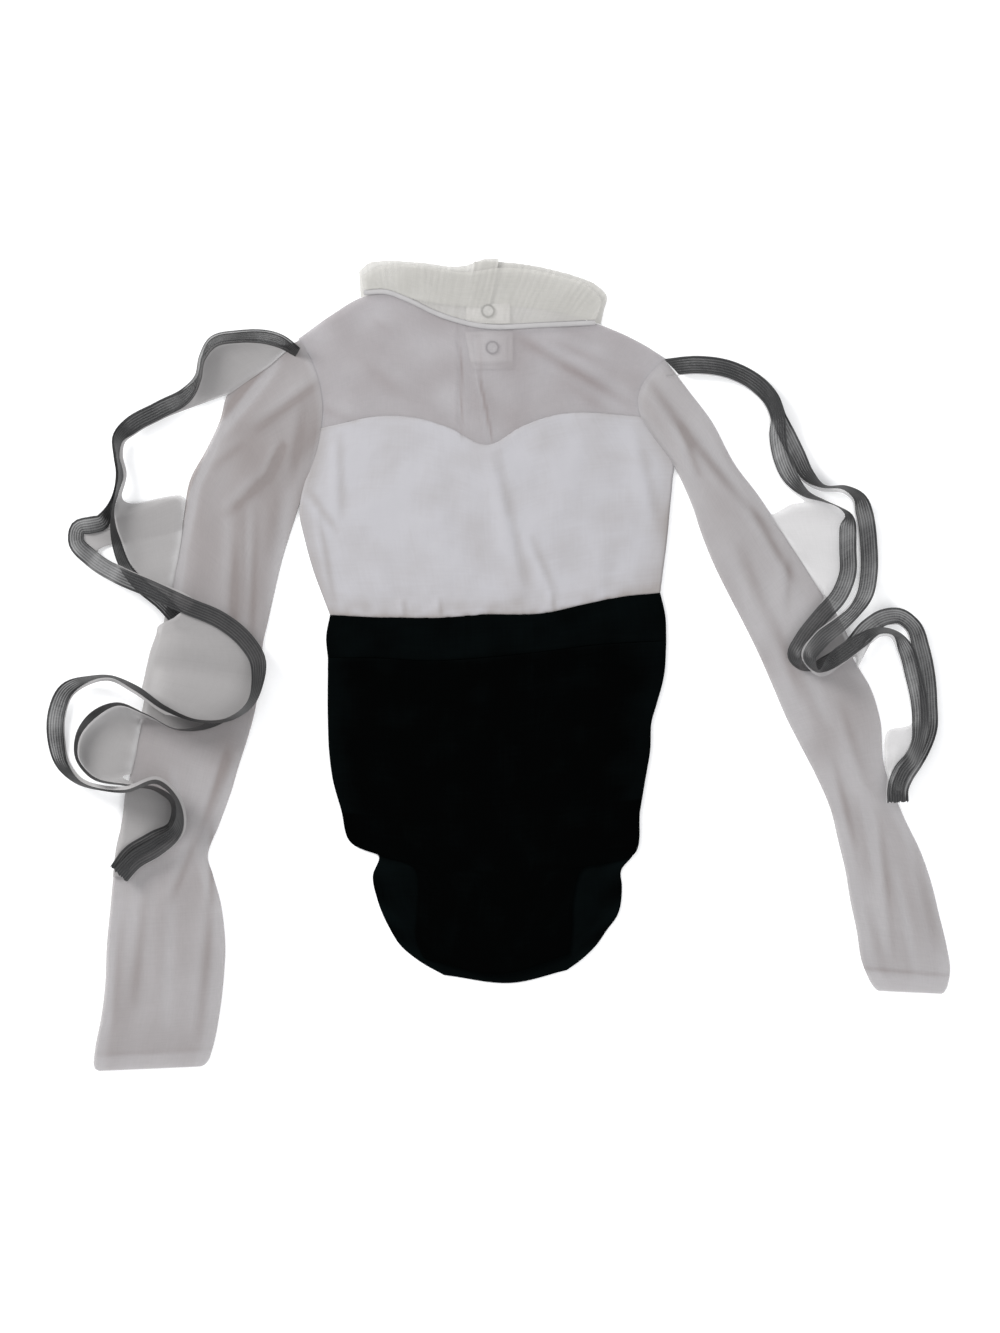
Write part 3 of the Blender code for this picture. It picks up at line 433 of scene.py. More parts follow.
slit_foot_left = on_line(SLIT_LEFT[-1][0], back_left[-1], back_right[-1])
slit_foot_right = on_line(SLIT_RIGHT[-1][0], back_left[-1], back_right[-1])
SEAM_GAP = 0.3
FACING_SHORT = 0.5
facing_edge = moved(SLIT_RIGHT[:-1] + [slit_foot_right], dx=-FACING_SHORT)
back_yoke(
    "back_yoke_left",
    chain([back_left[0]], SHOULDER_LEFT, NECK_BACK_LEFT, facing_edge[:1]),
    moved([back_left[-1], slit_foot_left, facing_edge[-1]], dy=SEAM_GAP / 2),
    back_left,
    facing_edge,
    lambda y: -37.2,
    (160, 146), 3.1,
)
back_yoke(
    "back_yoke_right",
    chain(SLIT_RIGHT[:1], NECK_BACK_RIGHT, SHOULDER_RIGHT, [back_right[0]]),
    moved([slit_foot_right, back_right[-1]], dy=SEAM_GAP / 2),
    SLIT_RIGHT[:-1] + [slit_foot_right],
    back_right,
    lambda y: float(np.interp(y, [191, 231, 252, 271, 324], [-4.5, -11, -17.5, -20, -24.5])),
    (174, 134), 7.7,
)


# Back bodice, waistband and brief
# Opaque stretch knit, white above a black waistband and black brief. The brief's
# back is wider than its front at the legs, where elastic gathers its edge.
SIDE_LEFT = [(-175, 155.5), (-177.5, 139.5), (-172.5, 112.5), (-165, 85.5), (-155, 58.5), (-151.5, 45)]
SIDE_RIGHT = [(155.5, 183), (155, 166.5), (152.5, 139.5), (150, 112.5), (146.5, 85.5), (145.5, 65)]
WAIST_TOP = [
    (-151.5, 45), (-93, 42.5), (-55, 42.5), (-17.5, 45), (45.5, 47.5), (74, 54), (109, 61), (145.5, 65),
]
WAIST_SEAM = [(-153.5, 6.5), (-99, 5.5), (-78, 4), (-5, 7), (33, 11), (90, 18), (151, 21.5)]
WAIST_LEFT = [(-151.5, 45), (-155, 25), (-153.5, 6.5)]
WAIST_RIGHT = [(145.5, 65), (150, 45), (151, 21.5)]
HIP_LEFT = [(-153.5, 6.5), (-153.5, -49.5), (-152.5, -76.5), (-149, -103.5), (-141.5, -130.5), (-133.5, -159)]
HIP_RIGHT = [
    (151, 21.5), (149, -9), (142, -36), (138, -49.5), (136.5, -76.5), (132, -103.5), (127.5, -130.5),
    (121, -171),
]
BACK_LEG_LEFT = [
    (-107.5, -173), (-113, -189), (-109, -211), (-99, -235), (-88.5, -252), (-72.5, -265.5),
    (-49, -279),
]
BACK_LEG_RIGHT = [
    (110, -186), (111, -198), (107, -225), (97.5, -238.5), (88, -252), (74, -265.5), (61.5, -274.5),
]
BACK_CROTCH = [(-49, -279), (13, -286), (61.5, -274.5)]
LEG_TOP = 0.45
LEG_SPAN = 260.0
ELASTIC_REACH = 16.0
RIPPLE_LENGTH = 4.4
RIPPLE_HEIGHT = 0.42
HALF_GAP = SEAM_GAP / 2


def knit(name, colour, shade, roughness, specular, sheen, relief_depth):
    """Fine opaque jersey, with ribs of stitches and a soft nap, and painted shade from its vertex value,
    which on black knit paints sheen.
    """
    made, shader = plain_material(name, colour, roughness, specular)
    shader.inputs["Sheen Weight"].default_value = sheen
    shader.inputs["Sheen Roughness"].default_value = 0.6
    shader.inputs["Sheen Tint"].default_value = (0.75, 0.95, 1.0, 1.0)
    nodes, links, pattern, fold_and_shade = cloth_nodes(made, 700.0, 500.0)
    mottling = ramp(nodes, links, pattern.outputs["Mottling"], -0.12, 0.12, 0.3, 0.7)
    slubs = ramp(nodes, links, pattern.outputs["Slubs"], -0.1, 0.1, 0.3, 0.7)
    # Mottling and slubs are the knit's own tone; the vertex value adds painted shade, and painted sheen on
    # black.
    shaded = summed(nodes, links, fold_and_shade, mottling, slubs)
    mottle_and_painted_shade = ramp(nodes, links, shaded, 0.0, 1.0)
    links.new(blended(nodes, links, mottle_and_painted_shade, colour, shade), shader.inputs["Base Color"])
    raised = summed(nodes, links, pattern.outputs["Weave"], pattern.outputs["Slubs"])
    emboss(nodes, links, shader, raised, relief_depth, 0.0004)
    return made


white_knit = knit("white_knit_jersey", (0.375, 0.368, 0.385), (0.27, 0.25, 0.243), 0.85, 0.2, 0.06, 0.2)
# Black knit's second colour is lighter than its own: where the vertex value rises, as on the crests of the
# brief's gathers, it paints sheen, and the knit's mottling mixes in the same colour.
BLACK, BLACK_MOTTLE_AND_SHEEN = (0.0004, 0.0005, 0.0005), (0.0018, 0.0032, 0.0034)
black_knit = knit("black_knit_jersey", BLACK, BLACK_MOTTLE_AND_SHEEN, 0.8, 0.006, 0.002, 0.2)


def gathers_at_leg(x, y, u, v):
    """Ripples that elastic draws in the leg edges of the back brief, strongest at the edge."""
    if v < LEG_TOP:
        return 0.0
    from_edge = min(u, 1 - u) * LEG_SPAN
    along = (y * 0.9 + (x if u < 0.5 else -x) * 0.45) / RIPPLE_LENGTH
    strength = near(from_edge, ELASTIC_REACH) * min(1.0, (v - LEG_TOP) / 0.1)
    return RIPPLE_HEIGHT * strength * math.sin(along + 1.3 * math.sin(along * 0.31))


def bodice_sides(seam_shares):
    """The left and right edges of a bodice piece: the rest of its armhole, then its side seam."""
    left = armhole(ARMHOLE_LEFT, seam_shares[0], 1.0, ARMHOLE_INSET)
    right = armhole(ARMHOLE_RIGHT, seam_shares[1], 1.0, -ARMHOLE_INSET)
    return (
        chain(left, moved(SIDE_LEFT[1:-1], ARMHOLE_INSET), WAIST_TOP[:1]),
        chain(right, moved(SIDE_RIGHT[1:-1], -ARMHOLE_INSET), WAIST_TOP[-1:]),
    )


def back_piece(name, plan, columns, rows, finish, flat, seed):
    def place(u, v):
        x, y = plan(u, v)
        z = KNIT_WALL / 2 + rumple(x, y, 30, 0.12, seed)
        shade = 0.0
        if name == "brief_back":
            gathers = gathers_at_leg(x, y, u, v)
            z += max(gathers, -0.2)
            # Painted sheen: the crests of the gathers take the lighter black, the troughs the darker.
            shade = 0.45 + 0.8 * gathers
        return x, y, z, shade

    piece = cloth(name, place, columns, rows, flat[0], flat[1])
    thicken(piece, 1.0)
    dress(piece, finish, name)


bodice_foot = moved(WAIST_TOP, dy=HALF_GAP)
waistband_top, waistband_foot = moved(WAIST_TOP, dy=-HALF_GAP), moved(WAIST_SEAM, dy=HALF_GAP)
waistband_plan = patch(waistband_top, waistband_foot, WAIST_LEFT, WAIST_RIGHT)
brief_top = moved(WAIST_SEAM, dy=-HALF_GAP)
back_piece(
    "back_bodice",
    patch(moved([back_left[-1], back_right[-1]], dy=-HALF_GAP), bodice_foot, *bodice_sides(BACK_SEAM_SHARES)),
    60, 34, white_knit, (332, 150), 11.0,
)
back_piece("waistband_back", waistband_plan, 60, 10, black_knit, (306, 42), 13.0)
back_piece(
    "brief_back",
    patch(brief_top, BACK_CROTCH, chain(HIP_LEFT, BACK_LEG_LEFT), chain(HIP_RIGHT, BACK_LEG_RIGHT)),
    90, 150, black_knit, (306, 308), 17.0,
)


# Straps and ring snaps of the back opening
# Two short straps of woven tape bridge the opening. Each is closed by a low round
# snap of pressed metal with a raised ring and a dimple.
TAB_UPPER = [(-29, 325), (10.5, 325), (-29, 307), (10.5, 307)]
TAB_LOWER = [(-30, 299.5), (13, 302), (-24, 266), (13, 266)]
TAB_REST = 1.8
FLAP_FOOT = 273
SNAP_WIDTH = 12.4
SNAP_WALL = 1.4
SNAP_RING_FROM = 0.75
# Each snap: its name, its place, and how strongly its ring is painted dark as shade.
SNAPS = [("snap_upper", -9.5, 318.5, 0.85), ("snap_lower", -5.5, 285.5, 1.0)]

tape = knit("woven_tape", (0.62, 0.60, 0.59), (0.36, 0.34, 0.335), 0.8, 0.2, 0.05, 0.4)
binding_cloth = knit("binding_cloth", (0.375, 0.365, 0.365), (0.30, 0.29, 0.29), 0.8, 0.2, 0.05, 0.3)


def strap(name, corners, seed):
    upper_left, upper_right, lower_left, lower_right = corners
    left, right = [upper_left, lower_left], [upper_right, lower_right]
    plan = patch([upper_left, upper_right], [lower_left, lower_right], left, right)

    def place(u, v):
        x, y = plan(u, v)
        rim = min(u, 1 - u, v, 1 - v)
        stitched = near(rim - 0.12, 0.025)
        below_flap = name == "tab_lower" and y < FLAP_FOOT
        # Painted shade: below the flap's foot the tape is darker, as well as lower.
        shaded = 0.5 * stitched + rumple(x, y, 14, 0.4, seed + 1) + 0.7 * below_flap
        return x, y, TAB_REST + rumple(x, y, 12, 0.12, seed) - 0.16 * stitched - 0.4 * below_flap, shaded

    piece = cloth(name, place, 44, 36, 40, 30)
    thicken(piece, 0.7)
    dress(piece, tape, name)


strap("tab_upper", TAB_UPPER, 2.0)
strap("tab_lower", TAB_LOWER, 5.0)

snap_metal, snap_shader = plain_material("snap_metal_pressed", (0.55, 0.54, 0.53), 0.38, 0.5, 0.4)
snap_nodes, snap_links = snap_metal.node_tree.nodes, snap_metal.node_tree.links
snap_place = snap_nodes.new("ShaderNodeTexCoord")
snap_wear = snap_nodes.new("ShaderNodeTexNoise")
snap_wear.inputs["Scale"].default_value = 900.0
snap_links.new(snap_place.outputs["Object"], snap_wear.inputs["Vector"])
snap_links.new(
    ramp(snap_nodes, snap_links, snap_wear.outputs["Fac"], 0.28, 0.5, 0.3, 0.7),
    snap_shader.inputs["Roughness"],
)
# Painted shade: where the vertex value is set, on the rolled ring and skirt, the metal is painted near black.
snap_ring = snap_nodes.new("ShaderNodeAttribute")
snap_ring.attribute_name = "fold_and_shade"
snap_links.new(
    blended(snap_nodes, snap_links, snap_ring.outputs["Fac"], (0.55, 0.54, 0.53), (0.015, 0.015, 0.015)),
    snap_shader.inputs["Base Color"],
)


def ring_snap(name, x, y, ring_shade):
    """Spun from its half section: a dimple, a flat, a rolled ring and a skirt. Its last argument is how
    strongly the ring and skirt take their painted shade.
    """
    low = TAB_REST + 0.8
    section = [
        (0.0, 0.45), (0.18, 0.47), (0.3, 0.6), (0.42, 0.8), (0.55, 0.74), (0.66, 0.78), (0.76, 0.97),
        (0.86, 1.0), (0.95, 0.86), (1.0, 0.55), (0.99, 0.2), (0.95, 0.0), (0.0, 0.0),
    ]
    turned = bmesh.new()
    ring = turned.verts.layers.float.new("fold_and_shade")
    points = []
    for r, z in section:
        point = turned.verts.new((r * SNAP_WIDTH / 2 * MM, 0, z * SNAP_WALL * MM))
        point[ring] = ring_shade if r > SNAP_RING_FROM else 0.0
        points.append(point)
    edges = [turned.edges.new(pair) for pair in zip(points, points[1:])]
    bmesh.ops.spin(
        turned, geom=points + edges, cent=(0, 0, 0), axis=(0, 0, 1), dvec=(0, 0, 0),
        angle=2 * math.pi, steps=64, use_merge=True, use_duplicate=False,
    )
    bmesh.ops.remove_doubles(turned, verts=turned.verts, dist=0.01 * MM)
    bmesh.ops.recalc_face_normals(turned, faces=turned.faces)
    bmesh.ops.translate(turned, vec=(x * MM, y * MM, low * MM), verts=turned.verts)
    piece = modelled(f"{name}_ring", turned)
    piece.data.materials.append(snap_metal)
    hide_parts(name)
    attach(piece, "root")


for snap in SNAPS:
    ring_snap(*snap)


# Front yoke, bodice, waistband and brief
# The front lies on the back at its side seams and bows up a little between. The
# bodice has a sweetheart top, and the brief's front narrows to a crotch strip.
NECK_FRONT = [NECK_END_LEFT, (-101, 334.5), (-84, 328.5), (-53, 314), (-22, 305), (46, 305), (88, 307)]
SWEETHEART = [
    (-164, 212.5), (-138, 218), (-115, 223), (-79, 223), (-46, 214), (-10, 198),
    (22, 215), (57, 226), (82, 227), (109, 225), (134.5, 223),
]
FRONT_LEG_LEFT = [(-107, -171), (-76, -183), (-73, -220), (-74, -247), (-67, -264)]
FRONT_LEG_RIGHT = [(100, -177.5), (76, -183), (67, -211), (66, -238), (64, -260)]
FRONT_CROTCH = [(-67, -264), (0, -278), (64, -260)]
FRONT_HIGH = 4.6
SEAM_DIP = 2.4
ARMHOLE_SEAM = 4.5
# A fold is a soft ridge from one point to another, with painted shade beside it. A negative shade paints
# light instead.
Fold = namedtuple("Fold", "x1 y1 x2 y2 spread height shade")
BODY_FOLDS = [Fold(*row) for row in (
    (-9, 195, 22, 60, 7, 1.6, 0.35), (24, 118, 50, 56, 5, 1.0, 0.35),
    (-148, 210, -146, 130, 6, 1.4, 0.4), (-166, 140, -150, 50, 4, 1.2, 0.4),
    (118, 218, 142, 110, 7, 1.4, 0.3), (-88, 60, -86, 40, 3, 0.8, 0.3), (-55, 62, -54, 38, 3, 0.8, 0.3),
    (46, 66, 48, 44, 3, 0.8, 0.3), (14, 305, 126, 237, 7, 1.6, 0.55), (40, 300, 100, 276, 6, 1.0, 0.3),
    (-36, 300, -35, 200, 2, 0.4, 0.7), (-20, 300, -18, 250, 2, 0.3, 0.5),
    (-19, 258, -7, 198, 2, 0.4, 0.9), (-112, 318, -90, 300, 6, 0.7, 0.2),
    (-130, 290, -70, 240, 9, 0.8, 0.2), (60, 262, 110, 228, 7, 0.8, 0.25),
    (-168, 240, -120, 222, 6, 0.7, 0.25), (-70, -40, -40, -150, 10, 1.2, 0.0),
    (60, -60, 85, -160, 10, 1.2, 0.0), (0, -150, 30, -220, 7, 1.0, 0.0),
    (-10, -212, 36, -207, 4, 0.9, 0.0), (-10, -257, 50, -262, 4, 0.9, 0.0),
    (-176, 157, -148, 115, 5, 0.9, 0.5), (-60, 200, -50, 120, 12, 0.7, 0.1),
    (70, 205, 60, 130, 12, 0.7, 0.1), (-120, 110, -95, 60, 10, 0.6, 0.1),
    (95, 120, 90, 66, 9, 0.6, 0.1), (150, 150, 144, 80, 5, 0.8, 0.25),
)]


def crown(share):
    """The underside of a front piece: it lies on the back at the sides and bows up between."""
    return LAYER_REST + (FRONT_HIGH - LAYER_REST) * math.sin(math.pi * share) ** 0.7


def folds_at(x, y, folds):
    """The height and the painted shade that soft ridges add at a place, each fading out at its ends.

    A ridge is steeper to its lower right, away from the key light, where its shade is painted; a little
    painted light lies on its upper left.
    """
    height, shade = 0.0, 0.0
    for fold_and_shade in folds:
        along = (fold_and_shade.x2 - fold_and_shade.x1, fold_and_shade.y2 - fold_and_shade.y1)
        length = math.hypot(*along)
        share = ((x - fold_and_shade.x1) * along[0] + (y - fold_and_shade.y1) * along[1]) / length**2
        away = ((x - fold_and_shade.x1) * along[1] - (y - fold_and_shade.y1) * along[0]) / length
        if 0 < share < 1 and abs(away) < 4 * fold_and_shade.spread:
            strength = math.sin(math.pi * share) ** 0.6
            away *= 1 if along[0] + along[1] > 0 else -1
            reach = fold_and_shade.spread * (0.8 if away > 0 else 1.3)
            height += fold_and_shade.height * strength * near(away, reach)
            band = 0.7 * fold_and_shade.spread
            shade += fold_and_shade.shade * strength * near(away - fold_and_shade.spread, band)
            shade -= 0.4 * fold_and_shade.shade * strength * near(away + 0.4 * fold_and_shade.spread, band)
    return height, shade


def front_piece(name, plan, columns, rows, wall, finish, slot, flat, seed, seams):
    """seams says whether the cloth dips at its top and at its bottom edge, where it is sewn."""

    def place(u, v):
        x, y = plan(u, v)
        height, shade = folds_at(x, y, BODY_FOLDS)
        free = math.sin(math.pi * u) ** 0.3
        z = crown(u) + wall / 2 + height * free
        z += free * (rumple(x, y, 34, 0.7, seed) + rumple(x, y, 11, 0.22, seed + 4))
        from_top, from_foot = v * flat[1], (1 - v) * flat[1]
        dip = seams[0] * near(from_top, SEAM_DIP)
        dip += seams[1] * near(from_foot, SEAM_DIP)
        from_side = min(u, 1 - u) * flat[0]
        if name == "front_yoke":
            shade += 0.35 + rumple(x, y, 30, 0.35, seed + 7)
            shade -= 0.3 * near(from_side, ARMHOLE_SEAM, 4)
        elif name == "brief_front":
            shade = 0.35 * near(u - 0.5, 0.5, 4) * rumple(x, y, 30, 0.6, seed)
            shade += 0.4 * near(min(u, 1 - u), 0.06) * (v < LEG_TOP)
            dip *= 0.2
        elif name == "waistband_front":
            shade = 0.35 + rumple(x, y, 30, 0.2, seed) - 0.6 * dip
        else:
            # Painted shade: the bodice darkens towards its side seams and towards its waist seam.
            shade += 0.1 + rumple(x, y, 38, 0.3, seed + 7) + 0.5 * near(from_side, 12.0)
            shade += near(from_foot, 16.0) * (0.3 + rumple(x, y, 12, 0.5, seed + 8))
            dip *= 1 + rumple(x, y, 7, 1.2, seed + 9)
        # Where sewn edges dip, the vertex value rises: painted shade in the dips on the white bodice.
        return x, y, z - 0.9 * free * dip, min(1.0, shade + 0.5 * max(dip, 0.0))

    piece = cloth(name, place, columns, rows, flat[0], flat[1])
    if slot != "organza":
        thicken(piece, wall - 0.5)
    dress(piece, finish, name)


yoke_left = armhole(ARMHOLE_LEFT, 0.0, FRONT_SEAM_SHARES[0], ARMHOLE_INSET)
yoke_right = armhole(ARMHOLE_RIGHT, 0.0, FRONT_SEAM_SHARES[1], -ARMHOLE_INSET)
sweetheart = [yoke_left[-1]] + SWEETHEART[1:-1] + [yoke_right[-1]]
neck = chain([yoke_left[0]], SHOULDER_LEFT, NECK_FRONT, SHOULDER_RIGHT, [yoke_right[0]])
front_piece(
    "front_yoke", patch(neck, moved(sweetheart, dy=HALF_GAP), yoke_left, yoke_right),
    120, 50, ORGANZA_WALL, yoke_organza, "organza", (326, 134),
    21.0, (0.0, 0.0),
)
front_piece(
    "front_bodice", patch(moved(sweetheart, dy=-HALF_GAP), bodice_foot, *bodice_sides(FRONT_SEAM_SHARES)),
    150, 110, KNIT_WALL, white_knit, "white_knit", (332, 185), 31.0, (0.5, 1.0),
)
front_piece(
    "waistband_front", waistband_plan,
    130, 24, KNIT_WALL, black_knit, "black_knit", (306, 42), 41.0, (1.0, 1.0),
)
front_piece(
    "brief_front",
    patch(brief_top, FRONT_CROTCH, chain(HIP_LEFT, FRONT_LEG_LEFT), chain(HIP_RIGHT, FRONT_LEG_RIGHT)),
    130, 150, KNIT_WALL, black_knit, "black_knit", (306, 300), 51.0, (1.0, 0.0),
)


# Stand collar
# A gathered strip of organza stands at the neck. Its back is in two halves that
# lap at the opening, and its front lies on them above a narrow bound seam.
COLLAR_FRONT_EDGE = [
    (-124, 350), (-103, 359), (-71, 359), (-31, 353), (0, 357), (55, 350), (80, 341), (92, 328),
    (89, 314),
]
COLLAR_BACK_LEFT_EDGE = [
    (-125.5, 354), (-116.5, 361.5), (-103, 363.5), (-71, 362), (-31, 359), (-12, 365), (0.5, 365.5),
]
COLLAR_BACK_RIGHT_EDGE = [
    (-22, 363), (-5, 363), (21, 361), (55.5, 354), (72.5, 349), (88, 342), (97.5, 331), (95, 320),
]
COLLAR_BACK_LEFT_SEAM = [(-124, 334), (-101, 337), (-80, 333), (-50, 328), (-22, 325.5), (-8, 325.5)]
COLLAR_BACK_RIGHT_SEAM = [(-24, 326), (10, 326), (46, 322.5), (92, 310)]
BINDING_LINE = [(-121, 335), (-101, 335.5), (-84, 329.5), (-53, 315), (-22, 306), (46, 306), (87, 308)]
BINDING_WIDTH = 4.5
COLLAR_LAP = 3.2
BINDING_REACH = (0.18, 0.81)

collar_organza = organza("collar_organza", (0.47, 0.46, 0.435), (0.38, 0.37, 0.345), 0.75, 0.95)
front_collar_organza = organza("front_collar_organza", (0.50, 0.49, 0.46), (0.40, 0.39, 0.365), 0.42, 0.7)


def ruffle(name, seam, edge, low, gathers, flat, seed):
    """A strip whose gathers are tight at its seam and open out, unevenly, to its free edge."""
    inner, outer = curve_through(seam), curve_through(edge)

    def place(u, v):
        along = u + 0.25 / gathers * math.sin(2 * math.pi * (u * 5.3 + seed))
        x, y = (1 - v) * outer(u) + v * inner(u)
        phase = 2 * math.pi * gathers * along + 0.9 * math.sin(3.1 * v + 7 * u)
        wave = 0.5 + 0.5 * math.sin(phase)
        uneven = 0.5 + 0.5 * noise.noise(Vector((u * 23, v * 2, seed)))
        depth = (0.1 + 0.25 * (1 - v)) * (0.2 + uneven)
        crease = (1 - wave) ** 3
        scallop = 0.25 * (wave - 0.5) * (1 - v)
        height = low + 0.8 + depth * wave + rumple(x, y, 16, 0.4, seed)
        soft = 0.3 + rumple(x, y, 18, 0.35, seed + 2)
        # Painted shade darkens the creases between the gathers, most near the seam.
        return x, y + scallop, height, soft + 0.1 * crease * uneven * (0.2 + 0.8 * v)

    piece = cloth(name, place, gathers * 12, 22, flat[0], flat[1])
    finish = front_collar_organza if name == "collar_front" else collar_organza
    dress(piece, finish, name)


ruffle(
    "collar_back_right", moved(COLLAR_BACK_RIGHT_SEAM, dy=-COLLAR_LAP), COLLAR_BACK_RIGHT_EDGE, 0.0, 17,
    (130, 33), 0.3,
)
ruffle(
    "collar_back_left", moved(COLLAR_BACK_LEFT_SEAM, dy=-COLLAR_LAP), COLLAR_BACK_LEFT_EDGE, 2.8, 17,
    (135, 33), 0.7,
)
ruffle(
    "collar_front", moved(BINDING_LINE, dy=BINDING_WIDTH / 2 + 0.4), COLLAR_FRONT_EDGE, 5.7, 34,
    (235, 38), 0.45,
)

binding_line = curve_through(BINDING_LINE)


def binding_place(u, v):
    """A rolled edge: flat below and round above, following the neck seam."""
    x, y = binding_line(u)
    across = (v - 0.5) * BINDING_WIDTH
    rest = crown(BINDING_REACH[0] + (BINDING_REACH[1] - BINDING_REACH[0]) * u) + ORGANZA_WALL + 0.5
    round_top = 0.8 * math.sqrt(max(0.0, 1 - (2 * v - 1) ** 2))
    # Painted shade darkens the two sides of the roll, where it turns down.
    return x, y - across, rest + round_top, 0.1 + 0.12 * abs(2 * v - 1) ** 4 + rumple(x, y, 9, 0.3, 8.0)


bound_edge = cloth("neck_binding", binding_place, 130, 10, 215, 6)
dress(bound_edge, binding_cloth, "neck_binding")


# Sleeves
# Long sheer sleeves lie flat, their two sides on each other, with narrow hems at
# the cuffs. Each has soft creases that run down from the armhole.
# A ring is the line across a sleeve, how far it bows to the body, and the sleeve's height there.
Ring = namedtuple("Ring", "outer_x outer_y inner_x inner_y bow crown")
SLEEVE_LEFT = [Ring(*row) for row in (
    (-178.5, 293.5, -175, 155.5, 18, 4.2), (-205.5, 270, -179, 144, 9, 5.0),
    (-244, 243, -183, 131.5, 3, 5.4), (-250.5, 220.5, -188.5, 114.5, 0, 5.2),
    (-263, 193.5, -194, 96.5, 0, 5.0), (-277.5, 166.5, -198.5, 78.5, 0, 5.2),
    (-283, 135, -203, 58.5, 0, 5.4), (-286.5, 108, -207.5, 38.5, 0, 5.0),
    (-293, 76.5, -212, 18, 0, 4.8), (-298.5, 45, -214.5, -13.5, 0, 5.0),
    (-306.5, 13.5, -219, -40.5, 0, 5.0), (-316.5, -22.5, -225.5, -65, 0, 5.2),
    (-322.5, -58.5, -233.5, -90, 0, 5.0), (-331.5, -99, -241.5, -117, 0, 4.8),
    (-337, -135, -251.5, -144, 0, 5.2), (-344.5, -166.5, -261.5, -171, 0, 5.6),
    (-347, -193.5, -257, -189, 0, 5.6), (-349.5, -220.5, -250, -214, 0, 5.2),
    (-352.5, -252, -246, -247.5, 0, 4.8), (-354, -288, -247, -279, 0, 4.6),
    (-358, -319.5, -250.5, -310.5, 0, 4.4), (-362.5, -342, -255, -336, 0, 4.2),
    (-365.5, -365.5, -262, -361, 0, 4.0),
)]
SLEEVE_RIGHT = [Ring(*row) for row in (
    (149, 275.5, 155.5, 183, -26, 4.2), (170.5, 247.5, 164, 167, -16, 5.4),
    (191, 220.5, 174, 144, -7, 5.6), (213, 180, 183, 117, 0, 5.6), (233.5, 153, 192, 94.5, 0, 5.2),
    (257, 117, 205, 67.5, 0, 5.2), (278.5, 84, 219, 40.5, 0, 5.0), (301, 47.5, 232.5, 13.5, 0, 5.0),
    (320, 4.5, 246, -17, 0, 4.8), (335.5, -22.5, 259, -47.5, 0, 5.0),
    (343.5, -49.5, 271.5, -72, 0, 5.0), (347, -90, 285, -98, 0, 4.8), (364, -135, 299, -130.5, 0, 5.0),
    (381, -171, 305.5, -157.5, 0, 5.0), (390, -198, 312, -184.5, 0, 4.8),
    (396.5, -225, 316.5, -211.5, 0, 4.6), (403, -252, 322.5, -240, 0, 4.4),
    (406.4, -274.5, 327, -267, 0, 4.2), (402.5, -296, 338, -293, 0, 4.0),
)]
# Each fold paints shade beside its ridge on the sleeve's colour; a fold with a negative shade paints light on
# it.
LEFT_FOLDS = [Fold(*row) for row in (
    (-200, 280, -256, 210, 6, 1.2, -1.3), (-250, 224, -284, 146, 5, 1.0, -1.3),
    (-276, 164, -290, 102, 5, 0.9, -1.3), (-287, 124, -297, 45, 5, 0.8, -1.3),
    (-158, 264, -224, 214, 6, 1.2, 0.6), (-196, 204, -214, 165, 5, 1.2, 0.9),
    (-208, 177, -250, 137, 6, 1.0, 0.55), (-240, 150, -246, 20, 7, 0.8, 0.7),
    (-232, 146, -233, 40, 4, 0.6, 0.4), (-222, 145, -228, 0, 5, 0.7, 0.5),
    (-194, 160, -212, 50, 8, 0.7, -0.5), (-262, 180, -232, 205, 6, 0.6, 0.3),
    (-180, 240, -192, 160, 6, 0.6, 0.3), (-262, -138, -262, -218, 4, 1.2, 0.8),
    (-237, -75, -262, -150, 5, 0.8, -0.6), (-246, -70, -272, -150, 4, 0.7, 0.5),
    (-298, -90, -290, -160, 5, 0.8, -0.5), (-275, -150, -300, -215, 5, 0.9, 0.5),
    (-262, -200, -276, -340, 6, 0.8, 0.5), (-300, -200, -306, -330, 7, 0.8, -0.4),
    (-322, -190, -334, -310, 6, 0.8, 0.5), (-345, -225, -352, -330, 5, 0.6, 0.4),
    (-290, 10, -300, -60, 6, 0.6, 0.3),
)]
RIGHT_FOLDS = [Fold(*row) for row in (
    (124, 262, 174, 192, 6, 1.3, 0.5), (150, 220, 245, 112, 6, 1.3, 0.5),
    (222, 142, 264, 70, 5, 1.3, 0.6), (257, 98, 255, 40, 5, 1.1, 0.5),
    (158, 218, 178, 165, 5, 0.9, 0.7), (168, 220, 225, 130, 7, 0.7, -0.5),
    (208, 110, 246, 10, 8, 0.8, 0.5), (240, 50, 268, -40, 6, 0.8, 0.4),
    (262, 20, 292, -60, 7, 0.8, -0.5), (300, -30, 330, -120, 6, 0.8, 0.4),
    (296, -80, 318, -170, 5, 0.8, 0.5), (322, -110, 338, -200, 5, 0.7, -0.5),
    (338, -130, 352, -270, 5, 0.9, 0.6), (366, -150, 392, -262, 6, 0.8, 0.5),
    (352, -180, 372, -285, 5, 0.7, -0.4), (325, -215, 345, -285, 6, 0.7, 0.3),
)]

sleeve_organza = organza("sleeve_organza", (0.385, 0.37, 0.375), (0.215, 0.188, 0.182), 0.53, 0.75)
EDGE_ROUND = 1.25
HEM_HIGH = 14.0
CUFF_WIDTH = 100.0
CORNER_ROUND = 7.0
CORNER_REACH = 9.0
FACING_WIDTH = 11.0
FACING_FROM = 0.6


